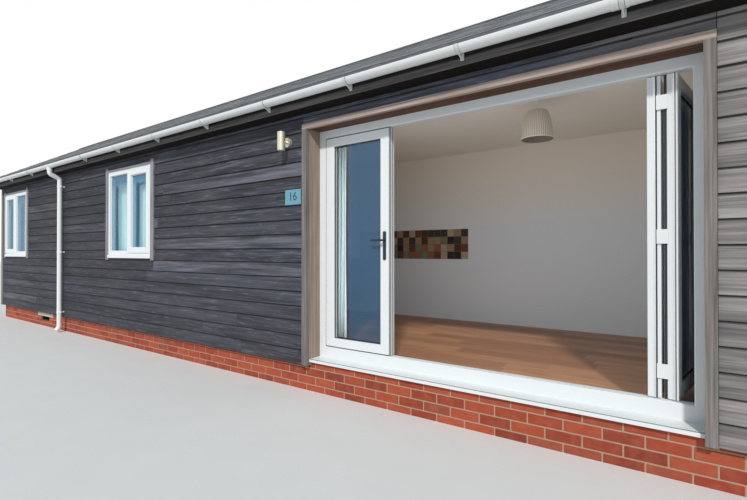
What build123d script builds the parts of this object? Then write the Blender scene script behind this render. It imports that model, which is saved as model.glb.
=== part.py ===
from build123d import *
import os
from math import atan, cos, degrees, radians, sin, tan

# A single-storey boarded cottage. Millimetres, front towards -Y, ground at Z = 0,
# origin under the middle of the plan.

# Walls, plinth and floor
length = 11720              # left boarding face to right boarding face
depth = 3100                # front boarding face to rear boarding face
boarding = 22               # boards that hang on the outer faces of the walls
wall_thickness = 260        # boarding face to room face
plinth_height = 240
plinth_setback = 60         # mortar face behind the boarding face
floor_level = 330
floor_thickness = 160
ceiling_over_door = 214     # ceiling above the head of the door opening
ceiling_thickness = 20

# Roof
pitch = 29.3
slates_over_door = 379.2    # slates above the head of the door opening, at the boarding face
slate_layer = 24            # slates and battens, square to the slope
rafter_depth = 100
eaves_overhang = 215        # edge of the slates beyond the boarding face
verge_overhang = 60
fascia_reach = 147          # fascia face beyond the boarding face
fascia_thickness = 20
fascia_drop = 182.7         # bottom of the fascia below the slates there
soffit_thickness = 12
barge_thickness = 25
barge_drop = 170
barge_step = 2              # barge board below the slate plane
ridge_leg = 150
ridge_thickness = 16

# Rainwater goods
gutter_radius = 47
gutter_skin = 3
gutter_drop = 33.5          # rim below the edge of the slates
stop_end = 5                # gutter end inside the barge board
bracket_skin = 4
bracket_width = 25
bracket_plate = 4
bracket_plate_drop = 80
bracket_plate_rise = 14
bracket_web = 6
bracket_web_turns = (20, 45, 70, 95, 120)     # corners of the web round the gutter, from its back
outlet_from_left = 3035     # centre of the outlet from the left boarding face
bracket_steps_left = (865, 1010)        # first distance from the outlet, and the pitch
bracket_steps_right = (1205, 967)
bracket_end_margin = 100
union_distances = (4106, 7962)          # centres from the outlet
union_width = 84
union_skin = 3
outlet_radius = 40
outlet_rise = 20            # top of the outlet above the floor of the gutter
outlet_drop = 36            # socket below the floor of the gutter
neck_start = 54             # first bend below the socket
neck_fall = 62
pipe_radius = 34
pipe_clearance = 0.3
pipe_gap = 24               # between the pipe and the boarding
neck_bend = 48
shoe_top = 92
shoe_end = 30
shoe_kick = 40
shoe_bore = 45
pipe_wall = 3
clip_heights = (319, 1270)
top_clip_drop = 124         # top clip below the second bend
clip_height = 22
clip_skin = 4
clip_ear = 34
clip_ear_thickness = 10

# Underfloor vent
vent_from_left = 2115       # centre from the left boarding face
vent_width = 360
vent_bottom = 92
vent_lintel_bottom = 167
vent_lintel_width = 670
vent_lintel_projection = 5

# Folding door set
opening_from_right = 317    # wall opening from the right boarding face
opening_width = 2982
door_frame_height = 2101
frame_sill_level = 300
frame_setback = 165         # face of the door frame behind the boarding face
frame_depth = 70
jamb_width = 94
head_height = 95
threshold_height = 97
frame_chamfer = 6
track_width = 18
track_depth = 8
architrave_projection = 14
architrave_height = 44
left_architrave = 59
right_architrave = 57
left_lining = 25
right_lining = 43
head_lining = 25
sill_height = 25
sill_nose = 23              # nose behind the boarding face
sill_slope = 5
sill_clearance = 1

# Leaves of the door set
leaf_clearance = 5
leaf_thickness = 70
traffic_width = 710
folding_width = 690
stile = 95
rail = 80
glass_thickness = 28
leaf_chamfer = 5
hinge_spacing = 790         # outer hinges from the one in the middle
knuckle_radius = 8
knuckle_standoff = 9
leaf_knuckle = 60
frame_knuckle = 20
knuckle_gap = 0.4
hinge_plate = 33
hinge_plate_thickness = 4

# How the three folding leaves stand inside the room
stack_gap = 76              # second leaf from the right jamb
fold_gap = 15               # between the first and second leaves
third_leaf_overlap = 2      # third leaf past the edge of the jamb
third_leaf_setback = 12
near_edge_setback = 35      # near edges behind the face of the frame
second_leaf_step = 5
second_leaf_splay = 7.6
third_leaf_splay = 3.5
folded_turn = 90
fold_hinge_height = 84
fold_hinge_reach = 22
fold_hinge_thickness = 11
fold_barrel = 9
roller_radius = 8
roller_setback = 18

# Lever handle
handle_height = 1360
handle_plate = (28, 240, 8)
handle_plate_drop = 44      # centre of the plate below the spindle
handle_neck = 42
handle_radius = 9
lever_length = 118
lever_thickness = 10
spindle_radius = 4
spindle_hole = 6

# Windows, one frame with a fixed light and a casement each
window_width = 1141
window_height = 1141
window_sill_level = 1229
window_edges_from_left = (244, 4578)    # left edge of each frame from the left boarding face
window_casements = (-1, 1)              # side of the casement in each window
window_projection = 2       # face of the frame in front of the boarding face
window_depth = 70
window_frame_width = 52
mullion_width = 72
casement_width = 44
casement_lap = 28
casement_projection = 14
casement_depth = 58
casement_clearance = 0.5
light_glass = 24
window_trim = 70
window_trim_head = 32
window_trim_rise = 60       # side pieces above the head of the frame
window_trim_drop = 25       # side pieces below the sill
window_trim_projection = 10
window_sill_height = 42
window_sill_projection = 14

# Fittings
light_from_door = 187       # wall light left of the left architrave
light_below_head = 121      # wall light below the head of the door opening
light_base_radius = 44
light_base_depth = 24
light_arm_radius = 14
light_radius = 37
light_length = 172
light_standoff = 66
light_cap = 6
light_cap_step = 3
pendant_from_right = 1535
pendant_from_front = 993
rose_radius = 48
rose_boss_radius = 22
rose_height = 24
flex_radius = 4
pendant_drop = 155          # shade below the ceiling
shade_height = 240
shade_top_radius = 92
shade_belly_radius = 118    # half way down
shade_bottom_radius = 131
shade_panels = 30
shade_skin = 3
shade_ring = 8
shade_seat = 0.3
holder_radius = 20
holder_length = 62
bulb_neck_radius = 13
bulb_radius = 24
bulb_length = 84
curtain_thickness = 60
curtain_hang = 0.3          # top of a curtain under what it hangs from
window_curtain_side = 12
window_curtain_setback = 24
door_curtain_width = 190
door_curtain_reach = 24     # right edge past the left edge of the door opening
door_curtain_standoff = 260
door_curtain_lift = 10

# Places worked out from the sizes above
left = -length / 2
right = length / 2
front = -depth / 2
wall_face = front + boarding
room_face = front + wall_thickness
core = room_face - wall_face
left_core = left + boarding
right_core = right - boarding
left_room = left + wall_thickness
right_room = right - wall_thickness
plinth_face = front + plinth_setback
plinth_left = left + plinth_setback
plinth_right = right - plinth_setback
fascia_face = front - fascia_reach
fascia_back = fascia_face + fascia_thickness
slate_edge = front - eaves_overhang
verge = right + verge_overhang
slope = tan(radians(pitch))
opening_head = frame_sill_level + door_frame_height
ceiling_level = opening_head + ceiling_over_door
apex_height = opening_head + slates_over_door - front * slope
slate_drop = slate_layer / cos(radians(pitch))
roof_drop = (slate_layer + rafter_depth) / cos(radians(pitch))

opening_right = right - opening_from_right
opening_left = opening_right - opening_width
frame_face = front + frame_setback
frame_back = frame_face + frame_depth
daylight_left = opening_left + jamb_width
daylight_right = opening_right - jamb_width
daylight_bottom = frame_sill_level + threshold_height
daylight_top = opening_head - head_height
lining_left = opening_left + left_lining
lining_right = opening_right - right_lining
lining_head = opening_head - head_lining
architrave_face = front - architrave_projection
architrave_left = lining_left - left_architrave
architrave_right = lining_right + right_architrave
leaf_bottom = daylight_bottom + leaf_clearance
leaf_top = daylight_top - leaf_clearance
leaf_height = leaf_top - leaf_bottom
leaf_middle = (leaf_top + leaf_bottom) / 2
hinge_heights = [leaf_middle + hinge_spacing * i for i in (-1, 0, 1)]


def slate_plane(y):
    """Height of the upper face of the slates above a line y from the ridge."""
    return apex_height - abs(y) * slope


def rafter_foot(y):
    """Height of the underside of the rafters."""
    return slate_plane(y) - roof_drop


fascia_bottom = slate_plane(fascia_face) - fascia_drop
gutter_rim = slate_plane(slate_edge) - gutter_drop


def mirrored(points):
    """The same outline on the other side of the ridge."""
    return [(-y, z) for y, z in points]


def outline_along_x(points, start, end):
    """Extrude a closed outline of (y, z) points from one x to another."""
    with BuildSketch(Plane.YZ.offset(start)) as section:
        with BuildLine():
            Polyline(*points, close=True)
        make_face()
    extrude(section.sketch, amount=end - start)


def rectangle_on_front(x_span, z_span, y, thickness, mode=Mode.ADD):
    """Extrude a rectangle of the elevation back from the plane at y."""
    with BuildSketch(Plane.XZ.offset(-y)) as face:
        with Locations((sum(x_span) / 2, sum(z_span) / 2)):
            Rectangle(x_span[1] - x_span[0], z_span[1] - z_span[0])
    extrude(face.sketch, amount=-thickness, mode=mode)


def rectangle_on_plan(x_span, y_span, z_span, mode=Mode.ADD):
    """Extrude a rectangle of the plan from one level to another."""
    with BuildSketch(Plane.XY.offset(z_span[0])) as plan:
        with Locations((sum(x_span) / 2, sum(y_span) / 2)):
            Rectangle(x_span[1] - x_span[0], y_span[1] - y_span[0])
    extrude(plan.sketch, amount=z_span[1] - z_span[0], mode=mode)


def round_bar(start, direction, radius, height, mode=Mode.ADD):
    """A round bar from a point, along a direction."""
    with BuildSketch(Plane(origin=start, z_dir=direction)) as disc:
        Circle(radius)
    extrude(disc.sketch, amount=height, mode=mode)


# Brick plinth, with a vent under the floor and a raised part below the door
vent_middle = left + vent_from_left
vent_span = (vent_middle - vent_width / 2, vent_middle + vent_width / 2)
lintel_span = (vent_middle - vent_lintel_width / 2, vent_middle + vent_lintel_width / 2)
lintel_levels = (vent_lintel_bottom, plinth_height)
lintel_depth = (room_face - plinth_face) / 2
plinth_thickness = room_face - plinth_face
sill_bottom = frame_sill_level - sill_height
sill_span = (lining_left + sill_clearance, lining_right - sill_clearance)

with BuildPart() as front_plinth:
    rectangle_on_plan((plinth_left, plinth_right), (plinth_face, room_face), (0, plinth_height))
    rectangle_on_plan(sill_span, (plinth_face, room_face), (plinth_height, sill_bottom))
    rectangle_on_front(vent_span, (vent_bottom, vent_lintel_bottom), plinth_face,
                       plinth_thickness, Mode.SUBTRACT)
    rectangle_on_front(lintel_span, lintel_levels, plinth_face, lintel_depth, Mode.SUBTRACT)
front_plinth.part.label = "front_plinth"
export_step(front_plinth.part, "parts/front_plinth.step")

with BuildPart() as vent_lintel:
    rectangle_on_front(lintel_span, lintel_levels, plinth_face - vent_lintel_projection,
                       lintel_depth + vent_lintel_projection)
vent_lintel.part.label = "vent_lintel"
export_step(vent_lintel.part, "parts/vent_lintel.step")

with BuildPart() as rear_plinth:
    rectangle_on_plan((plinth_left, plinth_right), (-room_face, -plinth_face), (0, plinth_height))
rear_plinth.part.label = "rear_plinth"
export_step(rear_plinth.part, "parts/rear_plinth.step")

for side, span in (("left", (plinth_left, left_room)), ("right", (right_room, plinth_right))):
    with BuildPart() as end_plinth:
        rectangle_on_plan(span, (room_face, -room_face), (0, plinth_height))
    end_plinth.part.label = f"{side}_plinth"
    export_step(end_plinth.part, f"parts/{side}_plinth.step")

# Floor with a tongue that runs out to the back of the door frame
with BuildPart() as floor:
    rectangle_on_plan((left_room, right_room), (room_face, -room_face),
                      (floor_level - floor_thickness, floor_level))
    rectangle_on_plan((opening_left, opening_right), (frame_back, room_face),
                      (frame_sill_level, floor_level))
floor.part.label = "floor"
export_step(floor.part, "parts/floor.step")

with BuildPart() as ceiling:
    rectangle_on_plan((left_room, right_room), (room_face, -room_face),
                      (ceiling_level, ceiling_level + ceiling_thickness))
ceiling.part.label = "ceiling"
export_step(ceiling.part, "parts/ceiling.step")

# Walls: their tops follow the underside of the rafters
window_middles = [left + edge + window_width / 2 for edge in window_edges_from_left]
window_head_level = window_sill_level + window_height
wall_outline = [
    (wall_face, plinth_height),
    (room_face, plinth_height),
    (room_face, rafter_foot(room_face)),
    (wall_face, rafter_foot(wall_face)),
]
over_door_outline = [
    (wall_face, opening_head),
    (room_face, opening_head),
    (room_face, rafter_foot(room_face)),
    (wall_face, rafter_foot(wall_face)),
]
gable_outline = [
    (room_face, plinth_height),
    (-room_face, plinth_height),
    (-room_face, rafter_foot(room_face)),
    (0, rafter_foot(0)),
    (room_face, rafter_foot(room_face)),
]

with BuildPart() as front_wall_left:
    outline_along_x(wall_outline, left_core, opening_left)
    for middle in window_middles:
        rectangle_on_front((middle - window_width / 2, middle + window_width / 2),
                           (window_sill_level, window_head_level), wall_face, core, Mode.SUBTRACT)
front_wall_left.part.label = "front_wall_left"
export_step(front_wall_left.part, "parts/front_wall_left.step")

with BuildPart() as front_wall_over_door:
    outline_along_x(over_door_outline, opening_left, opening_right)
front_wall_over_door.part.label = "front_wall_over_door"
export_step(front_wall_over_door.part, "parts/front_wall_over_door.step")

with BuildPart() as front_wall_right:
    outline_along_x(wall_outline, opening_right, right_core)
front_wall_right.part.label = "front_wall_right"
export_step(front_wall_right.part, "parts/front_wall_right.step")

with BuildPart() as rear_wall:
    outline_along_x(mirrored(wall_outline), left_core, right_core)
rear_wall.part.label = "rear_wall"
export_step(rear_wall.part, "parts/rear_wall.step")

for side, span in (("left", (left_core, left_room)), ("right", (right_room, right_core))):
    with BuildPart() as gable_wall:
        outline_along_x(gable_outline, *span)
    gable_wall.part.label = f"{side}_gable_wall"
    export_step(gable_wall.part, f"parts/{side}_gable_wall.step")

# Roof slopes: slates run out over the fascia, rafters are cut plumb behind it
roof_outline = [
    (0, slate_plane(0)),
    (slate_edge, slate_plane(slate_edge)),
    (slate_edge, slate_plane(slate_edge) - slate_drop),
    (fascia_back, slate_plane(fascia_back) - slate_drop),
    (fascia_back, rafter_foot(fascia_back)),
    (0, rafter_foot(0)),
]
eaves_outline = [
    (fascia_face, fascia_bottom),
    (wall_face, fascia_bottom),
    (wall_face, fascia_bottom + soffit_thickness),
    (fascia_back, fascia_bottom + soffit_thickness),
    (fascia_back, slate_plane(fascia_back) - slate_drop),
    (fascia_face, slate_plane(fascia_face) - slate_drop),
]

for side, turn in (("front", list), ("rear", mirrored)):
    with BuildPart() as roof_slope:
        outline_along_x(turn(roof_outline), -verge, verge)
    roof_slope.part.label = f"{side}_roof_slope"
    export_step(roof_slope.part, f"parts/{side}_roof_slope.step")

    with BuildPart() as eaves_box:
        outline_along_x(turn(eaves_outline), -verge, verge)
    eaves_box.part.label = f"{side}_eaves_box"
    export_step(eaves_box.part, f"parts/{side}_eaves_box.step")

ridge_run = ridge_leg * cos(radians(pitch))
ridge_out = ridge_thickness * sin(radians(pitch))
ridge_up = ridge_thickness * cos(radians(pitch))
ridge_outline = [
    (-ridge_run, slate_plane(ridge_run)),
    (0, apex_height),
    (ridge_run, slate_plane(ridge_run)),
    (ridge_run + ridge_out, slate_plane(ridge_run) + ridge_up),
    (0, apex_height + ridge_thickness / cos(radians(pitch))),
    (-ridge_run - ridge_out, slate_plane(ridge_run) + ridge_up),
]
with BuildPart() as ridge_capping:
    outline_along_x(ridge_outline, -verge - barge_thickness, verge + barge_thickness)
ridge_capping.part.label = "ridge_capping"
export_step(ridge_capping.part, "parts/ridge_capping.step")

barge_foot = slate_plane(fascia_face) - barge_step
barge_outline = [
    (0, apex_height - barge_step),
    (fascia_face, barge_foot),
    (fascia_face, barge_foot - barge_drop),
    (0, apex_height - barge_step - barge_drop),
    (-fascia_face, barge_foot - barge_drop),
    (-fascia_face, barge_foot),
]
for side, start in (("left", -verge - barge_thickness), ("right", verge)):
    with BuildPart() as barge_board:
        outline_along_x(barge_outline, start, start + barge_thickness)
    barge_board.part.label = f"{side}_barge_board"
    export_step(barge_board.part, f"parts/{side}_barge_board.step")

# Half-round gutters with brackets, stop ends, a union and the outlet socket
gutter_middle = fascia_face - gutter_radius - bracket_skin
gutter_end = verge + barge_thickness - stop_end
outlet_place = left + outlet_from_left
bracket_places = []
for direction, (first, bracket_pitch) in ((-1, bracket_steps_left), (1, bracket_steps_right)):
    run = gutter_end - bracket_end_margin - direction * outlet_place
    for i in range(int((run - first) / bracket_pitch) + 1):
        bracket_places.append(outlet_place + direction * (first + bracket_pitch * i))
union_places = [outlet_place + distance for distance in union_distances
                if outlet_place + distance + union_width < gutter_end]


def half_ring(start, width, outer, inner, y, mode=Mode.ADD):
    """The lower half of a ring, or of a disc where inner is 0, extruded along x."""
    with BuildSketch(Plane.YZ.offset(start)) as ring:
        with Locations((y, gutter_rim)):
            Circle(outer)
            if inner:
                Circle(inner, mode=Mode.SUBTRACT)
        with Locations((y, gutter_rim + outer / 2)):
            Rectangle(2 * outer, outer, mode=Mode.SUBTRACT)
    extrude(ring.sketch, amount=width, mode=mode)


for side, facing in (("front", 1), ("rear", -1)):
    axis = gutter_middle * facing
    with BuildPart() as gutter:
        inside = gutter_radius - gutter_skin
        half_ring(-gutter_end, 2 * gutter_end, gutter_radius, inside, axis)
        for end in (-gutter_end, gutter_end - gutter_skin):
            half_ring(end, gutter_skin, gutter_radius, 0, axis)
        for place in bracket_places:
            half_ring(place - bracket_width / 2, bracket_width, gutter_radius + bracket_skin,
                      inside, axis)
            plate_span = sorted((fascia_face * facing, (fascia_face - bracket_plate) * facing))
            rectangle_on_plan((place - bracket_width / 2, place + bracket_width / 2), plate_span,
                              (gutter_rim - bracket_plate_drop, gutter_rim + bracket_plate_rise))
            web_back = (fascia_face - bracket_plate / 2) * facing
            web_radius = gutter_radius - gutter_skin / 3
            web_top = gutter_rim - web_radius * sin(radians(bracket_web_turns[0]))
            web = [(web_back, gutter_rim - bracket_plate_drop + bracket_plate), (web_back, web_top)]
            for turn in map(radians, bracket_web_turns):
                web.append((axis + web_radius * cos(turn) * facing,
                            gutter_rim - web_radius * sin(turn)))
            outline_along_x(web, place - bracket_web / 2, place + bracket_web / 2)
        for place in union_places:
            half_ring(place - union_width / 2, union_width, gutter_radius + union_skin, inside, axis)
        round_bar((outlet_place, axis, gutter_rim - inside + outlet_rise), (0, 0, -1),
                  outlet_radius, outlet_rise + outlet_drop)
        half_ring(outlet_place - union_width / 2, union_width, inside, 0, axis, Mode.SUBTRACT)
        round_bar((outlet_place, axis, gutter_rim - inside), (0, 0, -1),
                  pipe_radius + pipe_clearance, outlet_drop, Mode.SUBTRACT)
    gutter.part.label = f"{side}_gutter"
    export_step(gutter.part, f"parts/{side}_gutter.step")

    # Downpipe: swan neck to the wall, ear clips, and a shoe that kicks outwards
    wall_line = (front - pipe_gap - pipe_radius) * facing
    shoe_line = wall_line - shoe_kick * facing
    pipe_top = gutter_rim - inside - gutter_skin
    neck_top = gutter_rim - inside - outlet_drop - neck_start
    neck_bottom = neck_top - neck_fall
    with BuildPart() as downpipe:
        with BuildLine() as route:
            FilletPolyline(
                (outlet_place, axis, pipe_top),
                (outlet_place, axis, neck_top),
                (outlet_place, wall_line, neck_bottom),
                (outlet_place, wall_line, shoe_top),
                (outlet_place, shoe_line, shoe_end),
                radius=neck_bend,
            )
        with BuildSketch(Plane(origin=route.wire() @ 0, z_dir=route.wire() % 0)):
            Circle(pipe_radius)
        sweep()
        with BuildSketch(Plane(origin=route.wire() @ 1, z_dir=route.wire() % 1)):
            Circle(pipe_radius - pipe_wall)
        extrude(amount=-shoe_bore, mode=Mode.SUBTRACT)
        for height in (*clip_heights, neck_bottom - top_clip_drop):
            round_bar((outlet_place, wall_line, height - clip_height / 2), (0, 0, 1),
                      pipe_radius + clip_skin, clip_height)
            wall_span = sorted((wall_line, wall_face * facing))
            rectangle_on_plan((outlet_place - pipe_radius / 2, outlet_place + pipe_radius / 2),
                              wall_span, (height - clip_height / 2, height + clip_height / 2))
            ear_span = (outlet_place, outlet_place + pipe_radius + clip_ear)
            rectangle_on_plan(ear_span, (wall_line - clip_ear_thickness / 2,
                                         wall_line + clip_ear_thickness / 2),
                              (height - clip_height / 2, height + clip_height / 2))
    downpipe.part.label = f"{side}_downpipe"
    export_step(downpipe.part, f"parts/{side}_downpipe.step")

# Timber surround of the door opening: architrave outside, lining back to the frame
for side, edge, inner, outer in (
    ("left", architrave_left, lining_left, opening_left),
    ("right", architrave_right, lining_right, opening_right),
):
    with BuildPart() as door_lining:
        rectangle_on_plan(sorted((edge, inner)), (architrave_face, wall_face),
                          (plinth_height, lining_head))
        rectangle_on_plan(sorted((outer, inner)), (wall_face, frame_face),
                          (plinth_height, lining_head))
    door_lining.part.label = f"door_lining_{side}"
    export_step(door_lining.part, f"parts/door_lining_{side}.step")

with BuildPart() as door_lining_head:
    rectangle_on_plan((architrave_left, architrave_right), (architrave_face, wall_face),
                      (lining_head, lining_head + architrave_height))
    rectangle_on_plan((opening_left, opening_right), (wall_face, frame_face),
                      (lining_head, opening_head))
door_lining_head.part.label = "door_lining_head"
export_step(door_lining_head.part, "parts/door_lining_head.step")

# White sill whose top falls to a nose in front of the bricks
nose_face = front + sill_nose
sill_outline = [
    (room_face, sill_bottom),
    (room_face, frame_sill_level),
    (frame_face, frame_sill_level),
    (nose_face + sill_slope, frame_sill_level - sill_slope),
    (nose_face, frame_sill_level - 2 * sill_slope),
    (nose_face, sill_bottom - sill_slope),
    (plinth_face - sill_slope, sill_bottom - sill_slope),
    (plinth_face - sill_slope, sill_bottom),
]
with BuildPart() as door_sill:
    outline_along_x(sill_outline, *sill_span)
door_sill.part.label = "door_sill"
export_step(door_sill.part, "parts/door_sill.step")

# Door frame with a roller track along the threshold and hinge knuckles on the left jamb
hinge_line = daylight_left + leaf_clearance / 2
hinge_depth = frame_back + knuckle_standoff
track_middle = (frame_face + frame_back) / 2
with BuildPart() as door_frame:
    rectangle_on_front((opening_left, opening_right), (frame_sill_level, opening_head),
                       frame_face, frame_depth)
    rectangle_on_front((daylight_left, daylight_right), (daylight_bottom, daylight_top),
                       frame_face, frame_depth, Mode.SUBTRACT)
    front_edges = door_frame.faces().sort_by(Axis.Y)[0].inner_wires()[0].edges()
    chamfer(front_edges, frame_chamfer)
    rectangle_on_plan((daylight_left, daylight_right),
                      (track_middle - track_width / 2, track_middle + track_width / 2),
                      (daylight_bottom - track_depth, daylight_bottom), Mode.SUBTRACT)
    for height in hinge_heights:
        reach = leaf_knuckle / 2 + knuckle_gap + frame_knuckle
        plate_edge = hinge_line - knuckle_radius - 2 * knuckle_gap
        rectangle_on_plan((plate_edge - hinge_plate, plate_edge),
                          (frame_back, frame_back + hinge_plate_thickness),
                          (height - reach, height + reach))
        for start in (height - reach, height + leaf_knuckle / 2 + knuckle_gap):
            round_bar((hinge_line, hinge_depth, start), (0, 0, 1), knuckle_radius, frame_knuckle)
            rectangle_on_plan((plate_edge, hinge_line),
                              (frame_back, frame_back + hinge_plate_thickness),
                              (start, start + frame_knuckle))
door_frame.part.label = "door_frame"
export_step(door_frame.part, "parts/door_frame.step")


def leaf_plane(near_edge, turn):
    """Elevation plane of a leaf: x along its width from the near edge, y up, z through it."""
    angle = radians(turn)
    return Plane(origin=(near_edge[0], near_edge[1], leaf_middle),
                 x_dir=(cos(angle), sin(angle), 0),
                 z_dir=(sin(angle), -cos(angle), 0))


def leaf_body(plane, width):
    """Stiles and rails of one leaf, with the edge of the glass opening bevelled."""
    with BuildSketch(plane) as elevation:
        with Locations((width / 2, 0)):
            Rectangle(width, leaf_height)
            Rectangle(width - 2 * stile, leaf_height - 2 * rail, mode=Mode.SUBTRACT)
    body = extrude(elevation.sketch, amount=leaf_thickness)
    edges = body.faces().sort_by(Axis(plane.origin, plane.z_dir))
    chamfer(edges[-1].inner_wires()[0].edges() + edges[0].inner_wires()[0].edges(), leaf_chamfer)


def leaf_glass(plane, width):
    """Sealed unit that fills the opening of one leaf."""
    with BuildSketch(plane.offset((leaf_thickness - glass_thickness) / 2)) as elevation:
        with Locations((width / 2, 0)):
            Rectangle(width - 2 * stile, leaf_height - 2 * rail)
    extrude(elevation.sketch, amount=glass_thickness)


# Traffic door, shut in the frame, hung on the left jamb and opening into the room
traffic_left = daylight_left + leaf_clearance
traffic_plane = leaf_plane((traffic_left, frame_back), 0)
handle_x = traffic_left + traffic_width - stile / 2
with BuildPart() as traffic_door:
    leaf_body(traffic_plane, traffic_width)
    round_bar((handle_x, frame_face, handle_height), (0, 1, 0), spindle_hole, frame_depth,
              Mode.SUBTRACT)
    for height in hinge_heights:
        start = height - leaf_knuckle / 2
        round_bar((hinge_line, hinge_depth, start), (0, 0, 1), knuckle_radius, leaf_knuckle)
        rectangle_on_plan((hinge_line, hinge_line + hinge_plate),
                          (frame_back, frame_back + hinge_plate_thickness),
                          (start, start + leaf_knuckle))
traffic_door.part.label = "traffic_door"
export_step(traffic_door.part, "parts/traffic_door.step")

with BuildPart() as traffic_door_glass:
    leaf_glass(traffic_plane, traffic_width)
traffic_door_glass.part.label = "traffic_door_glass"
export_step(traffic_door_glass.part, "parts/traffic_door_glass.step")

# Lever handles on both faces, joined by the spindle
plate_width, plate_height, plate_depth = handle_plate
with BuildPart() as traffic_door_handle:
    round_bar((handle_x, frame_face, handle_height), (0, 1, 0), spindle_radius, frame_depth)
    for face, outwards in ((frame_face, -1), (frame_back, 1)):
        with BuildSketch(Plane(origin=(handle_x, face, handle_height - handle_plate_drop),
                               x_dir=(1, 0, 0), z_dir=(0, outwards, 0))) as plate:
            RectangleRounded(plate_width, plate_height, plate_width / 3)
        extrude(plate.sketch, amount=plate_depth)
        round_bar((handle_x, face, handle_height), (0, outwards, 0), handle_radius, handle_neck)
        with BuildSketch(Plane(origin=(handle_x, face + outwards * handle_neck, handle_height),
                               x_dir=(1, 0, 0), z_dir=(0, outwards, 0))) as lever:
            with Locations((-lever_length / 2 + handle_radius, 0)):
                RectangleRounded(lever_length, 2 * handle_radius, handle_radius * 0.9)
        extrude(lever.sketch, amount=lever_thickness)
traffic_door_handle.part.label = "traffic_door_handle"
export_step(traffic_door_handle.part, "parts/traffic_door_handle.step")

# Three folding leaves, stacked inside the room against the right jamb
near_edge = frame_face + near_edge_setback


def roller_pins(plane):
    """Pins above and below a leaf, which run in the head and the track of the frame."""
    pin = plane.from_local_coords((roller_setback, 0, leaf_thickness / 2))
    round_bar((pin.X, pin.Y, leaf_top), (0, 0, 1), roller_radius, leaf_clearance)
    round_bar((pin.X, pin.Y, leaf_bottom), (0, 0, -1), roller_radius, leaf_clearance)


splay = radians(second_leaf_splay)
second_left = daylight_right - stack_gap - leaf_thickness * cos(splay)
first_left = second_left - fold_gap - leaf_thickness
first_plane = leaf_plane((first_left, near_edge), folded_turn)
second_plane = leaf_plane((second_left, near_edge + second_leaf_step),
                          folded_turn - second_leaf_splay)
third_plane = leaf_plane((daylight_right - third_leaf_overlap, frame_back + third_leaf_setback),
                         folded_turn - third_leaf_splay)

with BuildPart() as folding_leaf_1:
    leaf_body(first_plane, folding_width)
    roller_pins(first_plane)
    first_right = first_left + leaf_thickness
    for height in hinge_heights:
        levels = (height - fold_hinge_height / 2, height + fold_hinge_height / 2)
        rectangle_on_plan((first_right - fold_hinge_reach, second_left + fold_hinge_reach),
                          (near_edge - fold_hinge_thickness, near_edge), levels)
folding_leaf_1.part.label = "folding_leaf_1"
export_step(folding_leaf_1.part, "parts/folding_leaf_1.step")

with BuildPart() as folding_leaf_2:
    leaf_body(second_plane, folding_width)
    roller_pins(second_plane)
    barrel = second_plane.from_local_coords((folding_width - 2 * fold_barrel, 0,
                                             leaf_thickness + fold_barrel))
    for height in hinge_heights:
        round_bar((barrel.X, barrel.Y, height - fold_hinge_height / 2), (0, 0, 1),
                  fold_barrel + 1, fold_hinge_height)
folding_leaf_2.part.label = "folding_leaf_2"
export_step(folding_leaf_2.part, "parts/folding_leaf_2.step")

with BuildPart() as folding_leaf_3:
    leaf_body(third_plane, folding_width)
    pivot = third_plane.from_local_coords((0, 0, leaf_thickness / 2))
    for height in hinge_heights:
        round_bar((pivot.X, frame_back + third_leaf_setback / 2, height - fold_hinge_height / 2),
                  (0, 0, 1), third_leaf_setback / 2, fold_hinge_height)
folding_leaf_3.part.label = "folding_leaf_3"
export_step(folding_leaf_3.part, "parts/folding_leaf_3.step")

for number, plane in ((1, first_plane), (2, second_plane), (3, third_plane)):
    with BuildPart() as folding_glass:
        leaf_glass(plane, folding_width)
    folding_glass.part.label = f"folding_leaf_{number}_glass"
    export_step(folding_glass.part, f"parts/folding_leaf_{number}_glass.step")

# Windows: frame with mullion and sill, casement, two panes, timber trim, curtains
window_face = front - window_projection
window_foot = window_sill_level - window_sill_height
window_back = window_face + window_depth
light_width = (window_width - 2 * window_frame_width - mullion_width) / 2
light_levels = (window_sill_level + window_frame_width, window_head_level - window_frame_width)
light_offset = (mullion_width + light_width) / 2
curtain_face = window_back + window_curtain_setback

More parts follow.
